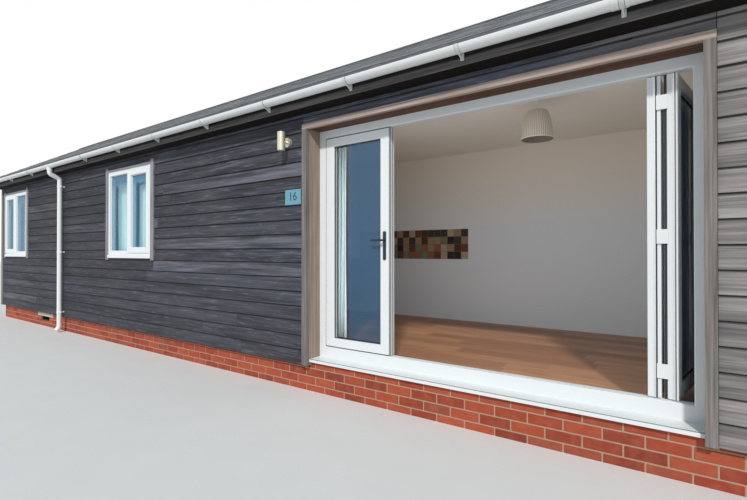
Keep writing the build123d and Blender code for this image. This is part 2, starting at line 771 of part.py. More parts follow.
for side, middle, hand in zip(("left", "right"), window_middles, window_casements):
    edges = (middle - window_width / 2, middle + window_width / 2)
    fixed_middle = middle - hand * light_offset
    casement_middle = middle + hand * light_offset
    fixed_span = (fixed_middle - light_width / 2, fixed_middle + light_width / 2)
    casement_light = (casement_middle - light_width / 2, casement_middle + light_width / 2)

    with BuildPart() as window_frame:
        rectangle_on_front(edges, (window_sill_level, window_head_level), window_face, window_depth)
        rectangle_on_front(fixed_span, light_levels, window_face, window_depth, Mode.SUBTRACT)
        rectangle_on_front(casement_light, light_levels, window_face, window_depth, Mode.SUBTRACT)
        rectangle_on_plan(edges, (window_face - window_sill_projection, wall_face),
                          (window_foot, window_sill_level))
    window_frame.part.label = f"{side}_window_frame"
    export_step(window_frame.part, f"parts/{side}_window_frame.step")

    with BuildPart() as fixed_glass:
        rectangle_on_front(fixed_span, light_levels,
                           window_face + (window_depth - light_glass) / 2, light_glass)
    fixed_glass.part.label = f"{side}_window_fixed_glass"
    export_step(fixed_glass.part, f"parts/{side}_window_fixed_glass.step")

    # The casement's flange laps the frame, its body sits inside the light
    body_span = (casement_light[0] + casement_clearance, casement_light[1] - casement_clearance)
    body_levels = (light_levels[0] + casement_clearance, light_levels[1] - casement_clearance)
    glass_span = (body_span[0] + casement_width, body_span[1] - casement_width)
    glass_levels = (body_levels[0] + casement_width, body_levels[1] - casement_width)
    with BuildPart() as casement:
        rectangle_on_front((body_span[0] - casement_lap, body_span[1] + casement_lap),
                           (body_levels[0] - casement_lap, body_levels[1] + casement_lap),
                           window_face - casement_projection, casement_projection)
        rectangle_on_front(body_span, body_levels, window_face, casement_depth)
        rectangle_on_front(glass_span, glass_levels, window_face - casement_projection,
                           casement_projection + casement_depth, Mode.SUBTRACT)
        front_edges = casement.faces().sort_by(Axis.Y)[0].edges()
        chamfer(front_edges, casement_projection / 3)
    casement.part.label = f"{side}_window_casement"
    export_step(casement.part, f"parts/{side}_window_casement.step")

    with BuildPart() as casement_glass:
        rectangle_on_front(glass_span, glass_levels,
                           window_face + (casement_depth - light_glass) / 2, light_glass)
    casement_glass.part.label = f"{side}_window_casement_glass"
    export_step(casement_glass.part, f"parts/{side}_window_casement_glass.step")

    with BuildPart() as window_surround:
        trim_face = front - window_trim_projection
        trim_thickness = boarding + window_trim_projection
        for edge, outer in ((edges[0], edges[0] - window_trim), (edges[1], edges[1] + window_trim)):
            rectangle_on_front(sorted((edge, outer)),
                               (window_foot - window_trim_drop, window_head_level + window_trim_rise),
                               trim_face, trim_thickness)
        rectangle_on_front(edges, (window_head_level, window_head_level + window_trim_head),
                           trim_face, trim_thickness)
    window_surround.part.label = f"{side}_window_trim"
    export_step(window_surround.part, f"parts/{side}_window_trim.step")

    with BuildPart() as window_curtain:
        rectangle_on_front((edges[0] + window_curtain_side, edges[1] - window_curtain_side),
                           (window_sill_level + window_curtain_side,
                            window_head_level - curtain_hang),
                           curtain_face, curtain_thickness)
    window_curtain.part.label = f"{side}_window_curtain"
    export_step(window_curtain.part, f"parts/{side}_window_curtain.step")

# Curtain beside the door set, hung from the ceiling clear of the traffic door
with BuildPart() as door_curtain:
    curtain_right = opening_left + door_curtain_reach
    rectangle_on_plan((curtain_right - door_curtain_width, curtain_right),
                      (room_face + door_curtain_standoff,
                       room_face + door_curtain_standoff + curtain_thickness),
                      (floor_level + door_curtain_lift, ceiling_level - curtain_hang))
door_curtain.part.label = "door_curtain"
export_step(door_curtain.part, "parts/door_curtain.step")

# Wall light: round base, short arm, upright cylinder with caps
light_x = architrave_left - light_from_door
light_y = front - light_base_depth - light_standoff
light_height = opening_head - light_below_head
cap_edge = light_x + light_radius - light_cap_step
with BuildPart() as wall_light:
    round_bar((light_x, wall_face, light_height), (0, -1, 0), light_base_radius,
              boarding + light_base_depth)
    round_bar((light_x, wall_face, light_height), (0, -1, 0), light_arm_radius,
              wall_face - light_y)
    with BuildSketch(Plane.XZ.offset(-light_y)):
        with BuildLine():
            Polyline(
                (light_x, light_height - light_length / 2),
                (cap_edge, light_height - light_length / 2),
                (cap_edge, light_height - light_length / 2 + light_cap),
                (cap_edge + light_cap_step, light_height - light_length / 2 + light_cap),
                (cap_edge + light_cap_step, light_height + light_length / 2 - light_cap),
                (cap_edge, light_height + light_length / 2 - light_cap),
                (cap_edge, light_height + light_length / 2),
                (light_x, light_height + light_length / 2),
                close=True,
            )
        make_face()
    revolve(axis=Axis((light_x, light_y, 0), (0, 0, 1)))
wall_light.part.label = "wall_light"
export_step(wall_light.part, "parts/wall_light.step")

# Pendant lamp: rose, flex, lampholder, bulb and the three arms that carry the shade
pendant_x = right - pendant_from_right
pendant_y = front + pendant_from_front
shade_top = ceiling_level - pendant_drop
holder_bottom = shade_top - holder_length
panel_share = cos(radians(180 / shade_panels))
arm_drop = shade_ring / 2   # top of the arms below the top of the shade
arm_radius = shade_top_radius + (shade_belly_radius - shade_top_radius) * 2 * arm_drop / shade_height
arm_reach = (arm_radius - shade_skin) * panel_share - shade_seat
with BuildPart() as pendant_lamp:
    with BuildSketch(Plane(origin=(pendant_x, pendant_y, 0), x_dir=(1, 0, 0), z_dir=(0, -1, 0))):
        with BuildLine():
            Polyline(
                (0, ceiling_level),
                (rose_radius, ceiling_level),
                (rose_radius, ceiling_level - rose_height / 2),
                (rose_boss_radius, ceiling_level - rose_height / 2),
                (rose_boss_radius, ceiling_level - rose_height),
                (flex_radius, ceiling_level - rose_height),
                (flex_radius, shade_top),
                (holder_radius, shade_top),
                (holder_radius, holder_bottom),
                (bulb_neck_radius, holder_bottom),
                (bulb_neck_radius, holder_bottom - bulb_length / 3),
                (bulb_radius, holder_bottom - bulb_length / 3),
                (bulb_radius, holder_bottom - bulb_length),
                (0, holder_bottom - bulb_length),
                close=True,
            )
        make_face()
    revolve(axis=Axis((pendant_x, pendant_y, 0), (0, 0, 1)))
    with BuildSketch(Plane.XY.offset(shade_top - shade_ring)) as arms:
        with Locations((pendant_x, pendant_y)):
            with PolarLocations(0, 3):
                with Locations((arm_reach / 2, 0)):
                    Rectangle(arm_reach, shade_ring)
    extrude(arms.sketch, amount=shade_ring - arm_drop)
pendant_lamp.part.label = "pendant_lamp"
export_step(pendant_lamp.part, "parts/pendant_lamp.step")

# Shade of flat panels, steeper below its middle than above it, open at both ends
shade_tiers = (
    (shade_top - shade_height, shade_bottom_radius, shade_belly_radius),
    (shade_top - shade_height / 2, shade_belly_radius, shade_top_radius),
)
with BuildPart() as pendant_shade:
    for skin, mode in ((0, Mode.ADD), (shade_skin, Mode.SUBTRACT)):
        for height, lower, upper in shade_tiers:
            with BuildSketch(Plane.XY.offset(height)) as tier:
                with Locations((pendant_x, pendant_y)):
                    RegularPolygon(lower - skin, shade_panels)
            lean = degrees(atan((lower - upper) * panel_share / (shade_height / 2)))
            extrude(tier.sketch, amount=shade_height / 2, taper=lean, mode=mode)
pendant_shade.part.label = "pendant_shade"
export_step(pendant_shade.part, "parts/pendant_shade.step")
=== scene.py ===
import math
import random

import bpy
from mathutils import Matrix, Vector


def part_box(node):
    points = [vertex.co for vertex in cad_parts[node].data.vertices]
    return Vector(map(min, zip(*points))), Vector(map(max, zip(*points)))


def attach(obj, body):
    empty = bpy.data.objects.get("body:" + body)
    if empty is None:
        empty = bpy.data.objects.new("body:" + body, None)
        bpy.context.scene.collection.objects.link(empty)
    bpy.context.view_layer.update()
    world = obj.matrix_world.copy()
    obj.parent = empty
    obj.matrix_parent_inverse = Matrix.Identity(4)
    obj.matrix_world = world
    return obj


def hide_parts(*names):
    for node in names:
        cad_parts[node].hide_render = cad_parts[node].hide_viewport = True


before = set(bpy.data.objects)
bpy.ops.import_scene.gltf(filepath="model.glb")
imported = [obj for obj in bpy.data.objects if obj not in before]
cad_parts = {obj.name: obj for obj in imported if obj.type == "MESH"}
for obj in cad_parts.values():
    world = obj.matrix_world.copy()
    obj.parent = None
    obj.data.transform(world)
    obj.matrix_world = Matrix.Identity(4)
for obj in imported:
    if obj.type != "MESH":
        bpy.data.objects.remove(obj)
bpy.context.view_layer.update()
HOUSE = "house"
DOOR = "traffic_door"
MM = 0.001

# Lines of the building, in metres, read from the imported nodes
wall_low, wall_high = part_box("front_wall_left")
plinth_low, plinth_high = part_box("front_plinth")
sill_low, sill_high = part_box("door_sill")
roof_low, roof_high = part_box("front_roof_slope")
ridge_low, ridge_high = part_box("ridge_capping")
eaves_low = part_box("front_eaves_box")[0]
surround_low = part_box("door_lining_left")[0]
surround_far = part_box("door_lining_right")[1]
surround_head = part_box("door_lining_head")[1]

WALL_FACE = wall_low.y
WALL_FOOT = wall_low.z
ROOM_FRONT, ROOM_REAR = wall_high.y, -wall_high.y
GABLE_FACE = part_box("right_gable_wall")[1].x
FACES = {"front": -WALL_FACE, "rear": -WALL_FACE, "left": GABLE_FACE, "right": GABLE_FACE}
SOFFIT = eaves_low.z
APEX = roof_high.z
EAVES_EDGE = roof_low.y
PITCH = math.radians(29.3)
RAFTERS = 142 * MM              # underside of the rafters plumb below the slates

# Stock sizes
BOARD_PITCH = 132.3 * MM
FIRST_BOARD = 243 * MM
BOARD_LAP = 18 * MM
BOARD_OUT = 22 * MM
BOARD_THICK = 8.5 * MM
CORNER_BOARD = 95 * MM
BRICK = (215 * MM, 65 * MM)
BRICK_JOINT = 10 * MM
FIRST_BRICK = -14 * MM
SLATE = (250 * MM, 200 * MM)    # width, and the part of the length that shows
SLATE_LAP = 80 * MM
SLATE_TAIL = 7 * MM
RIDGE_TILE = 450 * MM
STUD_PITCH = 600 * MM
STRAP = 25 * MM
BRACKETS = [-5.710, -4.700, -3.690] + [-1.620 + 0.967 * i for i in range(8)]
PLANK = (1.2, 190 * MM)         # length and width of a floor plank

# Door set
STILE = 95 * MM                 # from the pane to the edge of a leaf
LEAF_THICK = 70 * MM
LEAF_PANE = (500 * MM, 1739 * MM)
PANE_THICK = 28 * MM
FOLDED_TURNS = {1: 90, 2: 82.4, 3: 86.5}
SEAL_PROUD = 1.2 * MM
SILL_SEAM = (-1.5145, 0.2945)   # how far back and how high the seam of the sill runs

# Curtains and lamp shade
CURTAIN_TOP = 2.21              # at the windows
CURTAIN_HEADING = 56 * MM       # how high their pinched tops stand
SHADE_RIBS = 44
SHADE_RIB = 2.2 * MM            # depth of a rib
SHADE_FOOT, SHADE_BELLY, SHADE_TOP = 131 * MM, 119 * MM, 92 * MM  # radii
SHADE_SHOULDER = 0.7            # where the shade starts to draw in, 1 being its top
SHADE_DRAW = 100 * MM

random.seed(52)


# Working with pieces

def deselect():
    bpy.ops.object.select_all(action="DESELECT")


def pick(piece):
    deselect()
    piece.select_set(True)
    bpy.context.view_layer.objects.active = piece


def settle(piece):
    """Put the place, turn and size of a piece into its mesh."""
    pick(piece)
    bpy.ops.object.transform_apply(location=True, rotation=True, scale=True)
    return piece


def block(name, low, high):
    """A block between two corners."""
    deselect()
    middle = [(a + b) / 2 for a, b in zip(low, high)]
    span = [b - a for a, b in zip(low, high)]
    bpy.ops.mesh.primitive_cube_add(size=1, location=middle, scale=span)
    piece = bpy.context.object
    piece.name = name
    return settle(piece)


def panel(name, width, height):
    """A flat panel that faces the front, about its middle."""
    deselect()
    bpy.ops.mesh.primitive_plane_add(size=1, rotation=(math.radians(90), 0, 0))
    piece = settle(bpy.context.object)
    piece.name = name
    choose(piece)
    bpy.ops.transform.resize(value=(width, 1, height))
    return done(piece)


def rod(name, sides, radius, length, place=(0, 0, 0), turn=(0, 0, 0), ends="NGON"):
    """A round rod about its middle."""
    deselect()
    bpy.ops.mesh.primitive_cylinder_add(vertices=sides, radius=radius, depth=length,
                                        end_fill_type=ends, location=place, rotation=turn)
    piece = settle(bpy.context.object)
    piece.name = name
    return piece


def use(piece, kind, **settings):
    """Apply a modifier to a piece."""
    pick(piece)
    modifier = piece.modifiers.new(kind.title(), kind)
    for key, value in settings.items():
        setattr(modifier, key, value)
    bpy.ops.object.modifier_apply(modifier=modifier.name)
    return piece


def ease(piece, width, segments=1):
    """Take the sharp edges off a piece."""
    return use(piece, "BEVEL", width=width, segments=segments, limit_method="ANGLE")


def choose(piece, wanted=lambda place: True, kind="VERT"):
    """Open a piece for editing, with all of it chosen, or the vertices, edges or faces wanted."""
    pick(piece)
    bpy.ops.object.mode_set(mode="EDIT")
    bpy.ops.mesh.select_mode(type=kind)
    bpy.ops.mesh.select_all(action="DESELECT")
    bpy.ops.object.mode_set(mode="OBJECT")
    mesh = piece.data
    if kind == "VERT":
        for vertex in mesh.vertices:
            vertex.select = wanted(vertex.co)
    elif kind == "EDGE":
        for edge in mesh.edges:
            edge.select = all(wanted(mesh.vertices[i].co) for i in edge.vertices)
    else:
        for face in mesh.polygons:
            face.select = wanted(face)
    bpy.ops.object.mode_set(mode="EDIT")


def done(piece):
    bpy.ops.object.mode_set(mode="OBJECT")
    return piece


def trim(piece, point, normal):
    """Cut off what lies on the side that the normal points to, and close the cut."""
    choose(piece)
    bpy.ops.mesh.bisect(plane_co=point, plane_no=normal, use_fill=True, clear_outer=True)
    return done(piece)


def subtract(piece, cutter):
    """Cut the shape of a cutter out of a piece, and take the cutter away."""
    use(piece, "BOOLEAN", operation="DIFFERENCE", solver="EXACT", object=cutter)
    bpy.data.objects.remove(cutter)


def cut_out(piece, low, high):
    """Cut a block out of a piece."""
    subtract(piece, block("cutter", low, high))


def join(name, pieces):
    deselect()
    for piece in pieces:
        piece.select_set(True)
    bpy.context.view_layer.objects.active = pieces[0]
    bpy.ops.object.join()
    pieces[0].name = name
    return pieces[0]


def repeat(name, master, places):
    """Join copies of a master, one at each place, each with a tone of its own."""
    made = []
    for place in places:
        mesh = master.data.copy()
        mesh.transform(place)
        tone = mesh.attributes.new("tone", "FLOAT", "FACE")
        tone.data.foreach_set("value", [random.random()] * len(mesh.polygons))
        copy = bpy.data.objects.new(name, mesh)
        bpy.context.scene.collection.objects.link(copy)
        made.append(copy)
    bpy.data.objects.remove(master)
    return join(name, made)


def at(x, y, z):
    return Matrix.Translation((x, y, z))


def stretched(x, y, z):
    return Matrix.Diagonal((x, y, z, 1))


def wall_turn(side):
    """Turn from the front wall, which faces -Y, to another side."""
    turns = {"front": 0, "rear": 180, "left": -90, "right": 90}
    return Matrix.Rotation(math.radians(turns[side]), 4, "Z")


# Materials

class Wire:
    """A value in a material or in the world, which can be written in sums."""

    def __init__(self, maths, socket):
        self.maths = maths
        self.socket = socket

    def __add__(self, other):
        return self.maths("ADD", self, other)

    def __sub__(self, other):
        return self.maths("SUBTRACT", self, other)

    def __rsub__(self, other):
        return self.maths("SUBTRACT", other, self)

    def __mul__(self, other):
        return self.maths("MULTIPLY", self, other)

    def __truediv__(self, other):
        return self.maths("DIVIDE", self, other)

    def __gt__(self, other):
        return self.maths("GREATER_THAN", self, other)

    def __lt__(self, other):
        return self.maths("LESS_THAN", self, other)

    __radd__ = __add__
    __rmul__ = __mul__


class Nodes:
    """The nodes of a material or of the world."""

    def __init__(self, owner):
        owner.use_nodes = True
        self.tree = owner.node_tree
        self.tree.nodes.clear()

    def make(self, kind, sockets=None, out=0, **settings):
        """Add a node: its settings, then the values or links of its sockets."""
        node = self.tree.nodes.new("ShaderNode" + kind)
        for key, value in settings.items():
            setattr(node, key, value)
        for key, value in (sockets or {}).items():
            socket = node.inputs[key]
            if isinstance(value, Wire):
                self.tree.links.new(value.socket, socket)
            elif socket.type == "VECTOR" and isinstance(value, tuple):
                socket.default_value = value[:3]
            else:
                socket.default_value = value
        return Wire(self.maths, node.outputs[out])

    def show(self, kind, shader):
        """Lead a shader to the output of the material or the world."""
        node = self.tree.nodes.new("ShaderNode" + kind)
        self.tree.links.new(shader.socket, node.inputs["Surface"])

    def maths(self, operation, *values):
        return self.make("Math", dict(enumerate(values)), operation=operation)

    def larger(self, first, second):
        return self.maths("MAXIMUM", first, second)

    def mix(self, factor, first, second):
        return self.make("Mix", {0: factor, 6: first, 7: second}, 2, data_type="RGBA")


class Finish(Nodes):
    """A material and the nodes that make it."""

    def __init__(self, name):
        self.material = bpy.data.materials.new(name)
        super().__init__(self.material)
        self.place = self.make("TexCoord", out="Object")

    def axis(self, letter):
        return self.make("SeparateXYZ", {0: self.place}, letter)

    def vector(self, x, y, z):
        return self.make("CombineXYZ", {0: x, 1: y, 2: z})

    def scaled(self, x, y, z):
        return self.make("Mapping", {"Vector": self.place, "Scale": (x, y, z)})

    def noise(self, scale, detail=3, vector=None, rough=0.5):
        return self.make("TexNoise", {"Vector": vector or self.place, "Scale": scale,
                                      "Detail": detail, "Roughness": rough})

    def chance(self, value):
        """A chance value from 0 to 1 for each whole number."""
        return self.make("TexWhiteNoise", {"W": value}, noise_dimensions="1D")

    def size(self, value):
        """A value without its sign."""
        return self.maths("ABSOLUTE", value)

    def tone(self):
        """The tone that each copy of a repeated piece has."""
        return self.make("Attribute", out="Fac", attribute_name="tone")

    def ramp(self, factor, low, high):
        """0 below the low value, 1 above the high value."""
        return self.make("MapRange", {0: factor, 1: low, 2: high})

    def grained(self, grain, first, second):
        """Two colours that follow the grain."""
        return self.mix(self.ramp(grain, 0.3, 0.7), first, second)

    def colours(self, factor, stops, blend="LINEAR"):
        """Colours that follow a value, each from its own stop on."""
        wire = self.make("ValToRGB", {0: factor})
        ramp = wire.socket.node.color_ramp
        ramp.interpolation = blend
        while len(ramp.elements) < len(stops):
            ramp.elements.new(0.5)
        for element, (position, colour) in zip(ramp.elements, stops):
            element.position = position
            element.color = paint(*colour)
        return wire

    def bright(self, colour, factor):
        return self.make("VectorMath", {0: colour, 3: factor}, operation="SCALE")

    def surface(self, colour, roughness=0.6, height=None, depth=1 * MM, **sockets):
        """The shader, with its height as a bump."""
        values = {"Base Color": colour, "Roughness": roughness, **sockets}
        if height is not None:
            values["Normal"] = self.make("Bump", {"Height": height, "Distance": depth})
        self.show("OutputMaterial", self.make("BsdfPrincipled", values, "BSDF"))
        return self.material

    def woven(self, colour):
        """The shader of a finely woven cloth."""
        weave = self.noise(1, 2, self.scaled(900, 900, 500))
        return self.surface(colour, 0.9, weave, 0.2 * MM, **{"Sheen Weight": 0.2})


def paint(red, green, blue):
    """A colour given as it looks on a screen."""
    def linear(value):
        value = value / 255
        return value / 12.92 if value <= 0.04045 else ((value + 0.055) / 1.055) ** 2.4
    return (linear(red), linear(green), linear(blue), 1)


def shifted(colour, change):
    """A colour made lighter or darker."""
    return paint(*[part + change for part in colour])


def shade_radius(up, shoulder, rib):
    """The lamp shade's radius at a height from -1, its foot, to 1, its top.

    Shoulder is how far the height is past the one where the shade draws in, and rib is the
    cosine that runs round it."""
    mean = (SHADE_TOP + SHADE_FOOT) / 2
    return SHADE_BELLY + up * (SHADE_TOP - SHADE_FOOT) / 2 + up * up * (mean - SHADE_BELLY) \
        - shoulder * shoulder * SHADE_DRAW - SHADE_RIB * (0.5 + 0.5 * rib)


def boarding_finish(name, low, high, worn):
    """Charcoal boards greyed by weathering, paler to the right partly as painted sun sheen, with
    painted shade under each lip.
    """
    f = Finish(name)
    tone = f.tone()
    along = f.axis("X") + f.axis("Y")
    height = f.axis("Z")
    grain = f.noise(1, 5, f.vector(along * 2.2, tone * 53, height * 95), 0.62)
    streaks = f.noise(1, 3, f.vector(along * 0.9, tone * 31, height * 26), 0.6)
    blotch = f.noise(1.3, 2)
    wear = f.ramp(grain * 0.6 + streaks * 0.6 + tone * 0.16, 0.5, 0.92)
    dashes = f.noise(1, 3, f.vector(along * 4, tone * 17, height * 58), 0.7)
    patches = f.noise(1, 3, f.vector(along * 0.8, tone * 41, height * 16), 0.65)
    dark = f.mix(tone, paint(*low), paint(*high))
    board = f.mix(wear, dark, paint(*worn))
    board = f.mix(f.ramp(dashes, 0.54, 0.68) * 0.6, board, shifted(worn, 30))
    board = f.mix(f.ramp(tone, 0.82, 0.94) * f.ramp(patches, 0.4, 0.6) * 0.55, board,
                  shifted(worn, 34))
    board = f.mix(f.ramp(blotch, 0.45, 0.65) * 0.2, board,
                  paint(worn[0], worn[1] - 8, worn[2] - 20))
    # Paler boards to the right: partly weathering, partly painted sheen of the sun.
    bleached_and_sunlit = f.mix(f.ramp(grain * 0.7 + streaks * 0.5 + tone * 0.1, 0.35, 0.85),
                     paint(60, 57, 57), paint(158, 153, 152))
    rearwards = f.ramp(f.axis("Y") + blotch * 0.6, -0.4, 1.5)
    rightwards = f.ramp(f.axis("X") + blotch * 0.5, 5.0, 5.9) * (1 - rearwards)
    board = f.mix(rightwards, board, bleached_and_sunlit)
    knots = f.make("TexVoronoi", {
        "Vector": f.vector(along * 3.1, tone * 20, height * 12), "Scale": 1.0}, "Distance")
    board = f.mix((knots < 0.09) * 0.7, board, paint(50, 45, 43))
    # Painted shade: each board's face darkens towards its top, under the lip of the board above.
    up = f.maths("FRACT", (height - FIRST_BOARD) / BOARD_PITCH)
    wear_and_lap_shade = (0.42 + blotch * 0.4 + f.ramp(patches, 0.34, 0.66) * 0.62) \
        * (1 - f.ramp(up, 0.87, 0.93) * 0.8)
    # Brighter towards the right: partly weathering, partly painted sheen of the sun.
    fade = 0.78 + f.ramp(f.axis("X"), -1.5, -0.1) * 0.22 + f.ramp(f.axis("X"), 0.3, 1.2) * 0.12
    board = f.bright(board, wear_and_lap_shade * fade)
    return f.surface(board, 0.78, grain + streaks * 0.5, 0.9 * MM)


def surround_finish(name, level, shaded, lit):
    """Grey-brown oak with its grain along the piece, a lit colour on the face and a shaded colour
    on the reveals: browner oak, and painted shade under the head.

    The level mask says where the grain runs along the building."""
    f = Finish(name)
    along = f.noise(1, 5, f.scaled(1.6, 60, 60), 0.6)
    grain = f.noise(1, 5, f.scaled(60, 60, 1.6), 0.6)
    for low, high in level:
        grain = grain + (f.axis("X") > low) * (f.axis("X") < high) * (along - grain)
    broad = f.noise(2.5, 2)
    face = f.grained(grain, shifted(lit, -28), shifted(lit, 26))
    reveal = f.grained(grain, shifted(shaded, -22), shifted(shaded, 22))
    inwards = f.ramp(f.axis("Y"), WALL_FACE - 2 * MM, WALL_FACE + 6 * MM)
    colour = f.bright(f.mix(inwards, face, reveal), 0.84 + broad * 0.32)
    return f.surface(colour, 0.75, grain, 0.8 * MM)


def fascia_finish():
    """Dark boards, with the painted shadow of the gutter along their top and painted shade making
    the soffit nearly black.
    """
    f = Finish("fascia_boards")
    grain = f.noise(1, 4, f.scaled(2, 60, 60), 0.6)
    face = f.grained(grain, paint(64, 61, 62), paint(112, 107, 106))
    # Painted shade: the soffit's colour is nearly black.
    soffit = f.grained(grain, paint(9, 6, 5), paint(24, 15, 12))
    outer = f.size(f.axis("Y"))
    near_face = -eaves_low.y - 2 * MM
    under = (outer < near_face) * (f.axis("Z") < SOFFIT + 3 * MM)
    # Painted shadow of the gutter along the top of the fascia.
    gutter_shadow = f.ramp(f.axis("Z"), SOFFIT + 46 * MM, SOFFIT + 58 * MM) * (outer > near_face)
    face = f.mix(gutter_shadow * 0.9, face, paint(20, 16, 15))
    return f.surface(f.mix(under, face, soffit), 0.85, grain, 0.6 * MM,
                     **{"Specular IOR Level": 0.25})


def brick_finish():
    f = Finish("red_bricks")
    grit = f.noise(160, 4)
    cloud = f.noise(14, 3)
    colour = f.colours(f.tone(), [(0, (136, 57, 39)), (0.45, (160, 66, 43)),
                                  (0.8, (178, 82, 54)), (1, (146, 74, 56))])
    colour = f.mix(f.ramp(cloud, 0.45, 0.75) * 0.5, colour, paint(186, 102, 74))
    colour = f.bright(colour, 0.76 + grit * 0.36)
    return f.surface(colour, 0.85, grit, 1.2 * MM)


def mortar_finish():
    """Sandy mortar, with painted shade in the mouth of the vent, within the depth of the plinth.
    """
    f = Finish("pale_mortar")
    grit = f.noise(220, 4)
    colour = f.mix(grit, paint(150, 122, 100), paint(198, 168, 142))
    # Painted shade inside the vent, as dark mortar.
    vent = (f.axis("Y") > plinth_low.y + 12 * MM) * (f.axis("Y") < ROOM_FRONT + 1 * MM)
    return f.surface(f.mix(vent, colour, paint(46, 36, 32)), 0.9, grit, 1 * MM)


def mottled_finish(name, low, high, scale, detail, roughness, depth):
    """A fine mottle between two colours."""
    f = Finish(name)
    mottle = f.noise(scale, detail)
    return f.surface(f.mix(mottle, paint(*low), paint(*high)), roughness, mottle, depth)


def slate_finish():
    f = Finish("slates")
    riven = f.noise(1, 4, f.scaled(9, 34, 34), 0.6)
    cloud = f.noise(1.1, 2)
    colour = f.mix(f.tone(), paint(92, 97, 103), paint(134, 138, 142))
    colour = f.mix(f.ramp(riven, 0.5, 0.8) * 0.5, colour, paint(158, 159, 156))
    colour = f.bright(colour, 0.85 + cloud * 0.3)
    return f.surface(colour, 0.62, riven, 1.2 * MM)


def ridge_finish():
    f = Finish("ridge_tiles")
    grit = f.noise(90, 4)
    colour = f.mix(f.tone(), paint(88, 90, 95), paint(112, 113, 116))
    return f.surface(f.bright(colour, 0.85 + grit * 0.3), 0.75, grit, 0.8 * MM)


def plastic_finish(name, colour, roughness, seam=None):
    """White plastic, dusted a little by the weather, with a dark seam where one is asked for."""
    f = Finish(name)
    dust = f.noise(0.9, 2)
    tint = f.mix(f.ramp(dust, 0.4, 0.8) * 0.12, paint(*colour), paint(206, 210, 212))
    if seam:
        line = (f.size(f.axis("Z") - seam[1]) < 2 * MM) * (f.axis("Y") < seam[0])
        tint = f.mix(line * 0.8, tint, paint(70, 74, 78))
    return f.surface(tint, roughness + dust * 0.08)


def gutter_finish():
    """White plastic, dusted a little by the weather, with painted shade on each bracket's strap
    and darker painted shade along both its edges.
    """
    f = Finish("gutter_white")
    dust = f.noise(0.9, 2)
    tint = f.mix(f.ramp(dust, 0.4, 0.8) * 0.15, paint(234, 236, 237), paint(206, 208, 206))
    away = [f.size(f.axis("X") - x) for x in BRACKETS]
    strap = sum(distance < STRAP / 2 for distance in away)
    edge = sum(distance < STRAP / 2 + 4 * MM for distance in away) - strap
    # Painted shade on each strap, darker along its edges.
    tint = f.mix(strap * 0.6, tint, paint(206, 212, 206))
    tint = f.mix(edge * 0.75, tint, paint(112, 118, 114))
    return f.surface(tint, 0.3 + dust * 0.08)


def metal_finish(name, colour, roughness):
    f = Finish(name)
    mottle = f.noise(60, 3)
    tint = f.bright(paint(*colour), 0.9 + mottle * 0.2)
    return f.surface(tint, roughness + mottle * 0.15, mottle, 0.1 * MM, **{"Metallic": 0.6})


def glass_finish(name, colour, alpha, clear_side=None, clear_below=None, spans=()):
    """Glass painted with the blue of a sky reflection over the dark of the room.

    The painted reflection thins out left of one line and towards its foot, and below another line
    outside the stretches where it stays blue, as pale cloth hangs behind it there."""
    f = Finish(name)
    ripple = f.noise(0.9, 1)
    # The tint is a painted blue sky reflection.
    tint = f.mix(ripple, paint(*colour), shifted(colour, 10))
    cover = alpha
    if clear_side is not None:
        rightwards = f.ramp(f.axis("X"), clear_side, clear_side + 25 * MM)
        cover = cover * (0.1 + 0.9 * rightwards)
        cover = cover * (0.6 + 0.4 * f.ramp(f.axis("Z"), 0.55, 1.2))
    if clear_below is not None:
        clear = 1 - f.ramp(f.axis("Z"), clear_below, clear_below + 30 * MM)
        for low, high in spans:
            # The painted reflection stays blue in these stretches.
            blue = (f.axis("X") > low) * (1 - f.ramp(f.axis("X"), high, high + 20 * MM))
            clear = clear * (1 - blue * 0.8)
        cover = cover * (1 - 0.8 * clear)
    return f.surface(tint, 0.04, ripple, 0.4 * MM, **{"Alpha": cover, "Coat Weight": 0.4})


def plaster_finish(name, colour):
    f = Finish(name)
    roller = f.noise(110, 4)
    cloud = f.noise(0.8, 2)
    tint = f.bright(paint(*colour), 0.94 + cloud * 0.12)
    return f.surface(tint, 0.85, roller, 0.3 * MM)


def wall_finish():
    """White plaster on the room side, dark membrane behind the boards, and painted shade on the
    reveals through the wall.
    """
    f = Finish("lined_wall")
    roller = f.noise(110, 4)
    inside = (f.size(f.axis("Y")) < ROOM_REAR + 20 * MM) \
        * (f.size(f.axis("X")) < GABLE_FACE - 200 * MM)
    room = f.mix(f.ramp(f.axis("Z"), 1.5, 2.3), paint(214, 218, 221), paint(226, 216, 203))
    # Outside the room the wall is dark: membrane behind the boards, painted shade on the reveals.
    tint = f.mix(inside, paint(34, 33, 34), room)
    return f.surface(tint, 0.85, roller, 0.3 * MM)


def laminate_finish():
    """Brown wood planks laid along the building."""
    f = Finish("laminate_planks")
    across = f.axis("Y") / PLANK[1]
    row = f.maths("FLOOR", across)
    endways = f.axis("X") / PLANK[0] + f.chance(row)
    plank = f.maths("FLOOR", endways)
    tone = f.chance(row * 17.3 + plank * 5.1)
    grain = f.noise(1, 5, f.vector(f.axis("X") * 3, f.axis("Y") * 42, tone * 30), 0.6)
    colour = f.mix(tone, paint(144, 99, 70), paint(184, 135, 99))
    colour = f.mix(f.ramp(grain, 0.4, 0.75) * 0.7, colour, paint(108, 72, 50))
    groove = (f.maths("FRACT", across) < 0.014) + (f.maths("FRACT", endways) < 0.0022)
    colour = f.mix(groove * 0.7, colour, paint(60, 38, 26))
    return f.surface(colour, 0.42, grain * 0.3 - groove, 0.6 * MM)


def cloth_finish(name, colour, shade):
    f = Finish(name)
    fall = f.noise(1, 3, f.scaled(24, 24, 1.2))
    return f.woven(f.grained(fall, paint(*shade), paint(*colour)))


